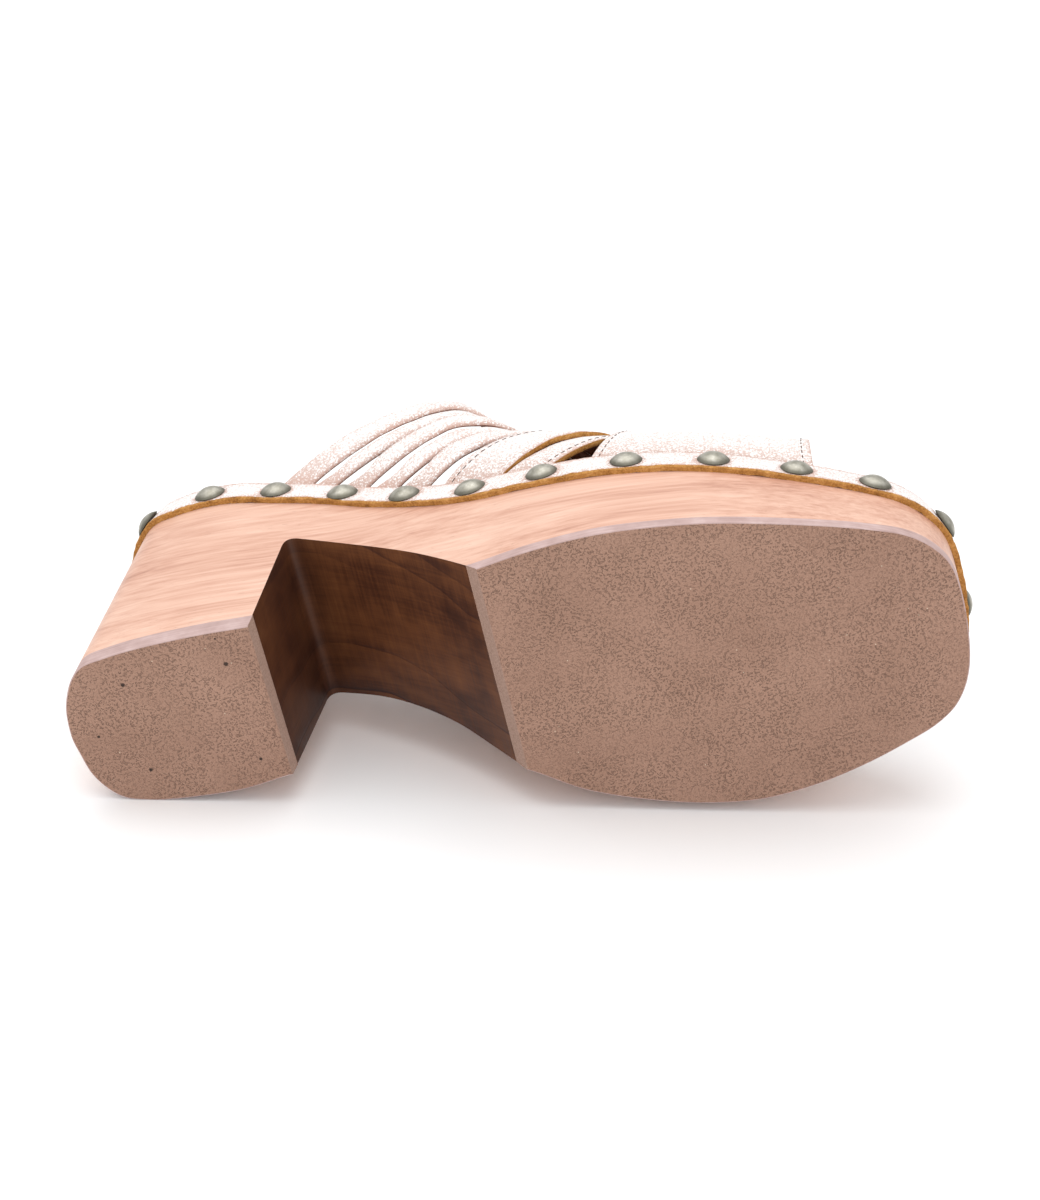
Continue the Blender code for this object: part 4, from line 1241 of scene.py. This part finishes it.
def stud_tree():
    """Low round-headed studs, one on each point, facing the way that the point stores.

    A ball's upper half is drawn together to the part of a larger ball that has the stud's rise.
    """
    tree, given, gives = new_tree("stud_row", ("Diameter", "Rise"))

    def maths(operation, first, second=0.0):
        return in_tree(tree, "ShaderNodeMath", {"operation": operation},
                       {0: first, 1: second}).outputs[0]

    ball = in_tree(tree, "GeometryNodeMeshUVSphere", None,
                   {"Segments": 32, "Rings": 16, "Radius": 1.0})
    place = in_tree(tree, "GeometryNodeInputPosition")
    split = in_tree(tree, "ShaderNodeSeparateXYZ", None, {0: place.outputs[0]})
    half = maths("MULTIPLY", given.outputs["Diameter"], 0.5)
    rise = given.outputs["Rise"]
    square = maths("ADD", maths("MULTIPLY", half, half), maths("MULTIPLY", rise, rise))
    radius = maths("DIVIDE", square, maths("MULTIPLY", rise, 2.0))
    spread = maths("ARCSINE", maths("DIVIDE", half, radius))
    polar = maths("ARCCOSINE", split.outputs[2])
    share = maths("MINIMUM", maths("DIVIDE", polar, math.pi / 2), 1.0)
    tilt = maths("MULTIPLY", spread, share)
    reach = maths("MAXIMUM", maths("SINE", polar), 1e-5)
    low = maths("LESS_THAN", split.outputs[2], -1e-4)
    round_out = maths("DIVIDE", maths("MULTIPLY", radius, maths("SINE", tilt)), reach)
    out = maths("ADD", maths("MULTIPLY", round_out, maths("SUBTRACT", 1.0, low)),
                maths("MULTIPLY", half, low))
    crown = maths("SUBTRACT", maths("MULTIPLY", radius, maths("COSINE", tilt)),
                  maths("SUBTRACT", radius, rise))
    sunk = maths("MULTIPLY", maths("MULTIPLY", split.outputs[2], STUD_SUNK), low)
    moved = in_tree(tree, "ShaderNodeCombineXYZ", None, {
        0: maths("MULTIPLY", split.outputs[0], out), 1: maths("MULTIPLY", split.outputs[1], out),
        2: maths("ADD", crown, sunk)})
    foot = in_tree(tree, "ShaderNodeMapRange", {"interpolation_type": "SMOOTHSTEP"},
                   {"Value": share, 1: 0.62, 2: 0.98, 3: 0.0, 4: 1.0})
    worn = in_tree(tree, "GeometryNodeStoreNamedAttribute", {"data_type": "FLOAT", "domain": "POINT"},
                   {"Geometry": ball.outputs["Mesh"], "Name": "wear", "Value": foot.outputs[0]})
    dome = in_tree(tree, "GeometryNodeSetPosition", None,
                   {"Geometry": worn.outputs[0], "Position": moved.outputs[0]})
    facing = in_tree(tree, "GeometryNodeInputNamedAttribute", {"data_type": "FLOAT_VECTOR"},
                     {"Name": "facing"})
    turn = in_tree(tree, "FunctionNodeAlignRotationToVector", {"axis": "Z"},
                   {"Vector": facing.outputs[0]})
    points = in_tree(tree, "GeometryNodeMeshToPoints", None, {0: given.outputs["Geometry"]})
    stood = in_tree(tree, "GeometryNodeInstanceOnPoints", None,
                    {"Points": points.outputs[0], "Instance": dome.outputs[0],
                     "Rotation": turn.outputs[0]})
    real = in_tree(tree, "GeometryNodeRealizeInstances", None, {0: stood.outputs[0]})
    painted = in_tree(tree, "GeometryNodeSetMaterial", None,
                      {"Geometry": real.outputs[0], "Material": PEWTER})
    tree.links.new(painted.outputs[0], gives.inputs[0])
    return tree


def make_studs():
    """Round-headed studs on the band, as one piece for all the stud solids."""
    mesh = bpy.data.meshes.new("band_studs")
    mesh.from_pydata([seat[0] - seat[1] * STUD_STAND for seat in SEATS], [], [])
    facing = mesh.attributes.new("facing", "FLOAT_VECTOR", "POINT")
    facing.data.foreach_set("vector", np.array([seat[1] for seat in SEATS], np.float32).ravel())
    studs = run_tree("band_studs", stud_tree(), mesh,
                     {"Diameter": STUD_DIAMETER, "Rise": STUD_RISE + STUD_STAND})
    store_places(studs)
    nodes = [name for name in frame["nodes"] if name.startswith("stud_")]
    return settle("band_studs", studs, nodes)


def make_softbox(name, place, aim, width, power):
    """Square softbox at a place, looking at a point."""
    lamp = bpy.data.lights.new(name, "AREA")
    lamp.size = width
    lamp.energy = power
    box = in_scene(name, lamp)
    box.location = place
    box.rotation_euler = (Vector(aim) - Vector(place)).to_track_quat("-Z", "Y").to_euler()


def make_floor():
    """Plain white floor."""
    mesh = bpy.data.meshes.new("floor")
    corners = [(x * FLOOR_REACH, y * FLOOR_REACH, 0) for x, y in ((-1, -1), (1, -1), (1, 1), (-1, 1))]
    mesh.from_pydata(corners, [], [(0, 1, 2, 3)])
    mesh.materials.append(FLOOR)
    in_scene("floor", mesh)


def make_sky():
    """Even white light from all sides, and plain colours in the picture."""
    sky = bpy.data.worlds.new("studio")
    sky.use_nodes = True
    background = sky.node_tree.nodes["Background"]
    background.inputs["Color"].default_value = (1.0, 1.0, 1.0, 1.0)
    background.inputs["Strength"].default_value = SKY_STRENGTH
    bpy.context.scene.world = sky
    bpy.context.scene.view_settings.view_transform = "Standard"


def make_camera():
    """The photograph's camera."""
    turn = Matrix(CAMERA_TURN).transposed()
    place = turn.to_4x4()
    place.translation = -(turn @ Vector(CAMERA_PLACE))
    lens = bpy.data.cameras.new("photo_camera")
    lens.lens = CAMERA_LENS
    lens.sensor_fit = "VERTICAL"
    lens.sensor_height = CAMERA_SENSOR
    lens.clip_start = 0.01
    camera = in_scene("photo_camera", lens)
    camera.matrix_world = LYING @ place
    bpy.context.scene.camera = camera


make_wood()
make_treads()
make_sock()
make_margin()
make_band()
for row in STRAPS:
    make_strap(*row)
make_studs()
make_floor()
make_softbox("overhead_softbox", *OVERHEAD_SOFTBOX)
make_softbox("front_softbox", *FRONT_SOFTBOX)
make_sky()
make_camera()
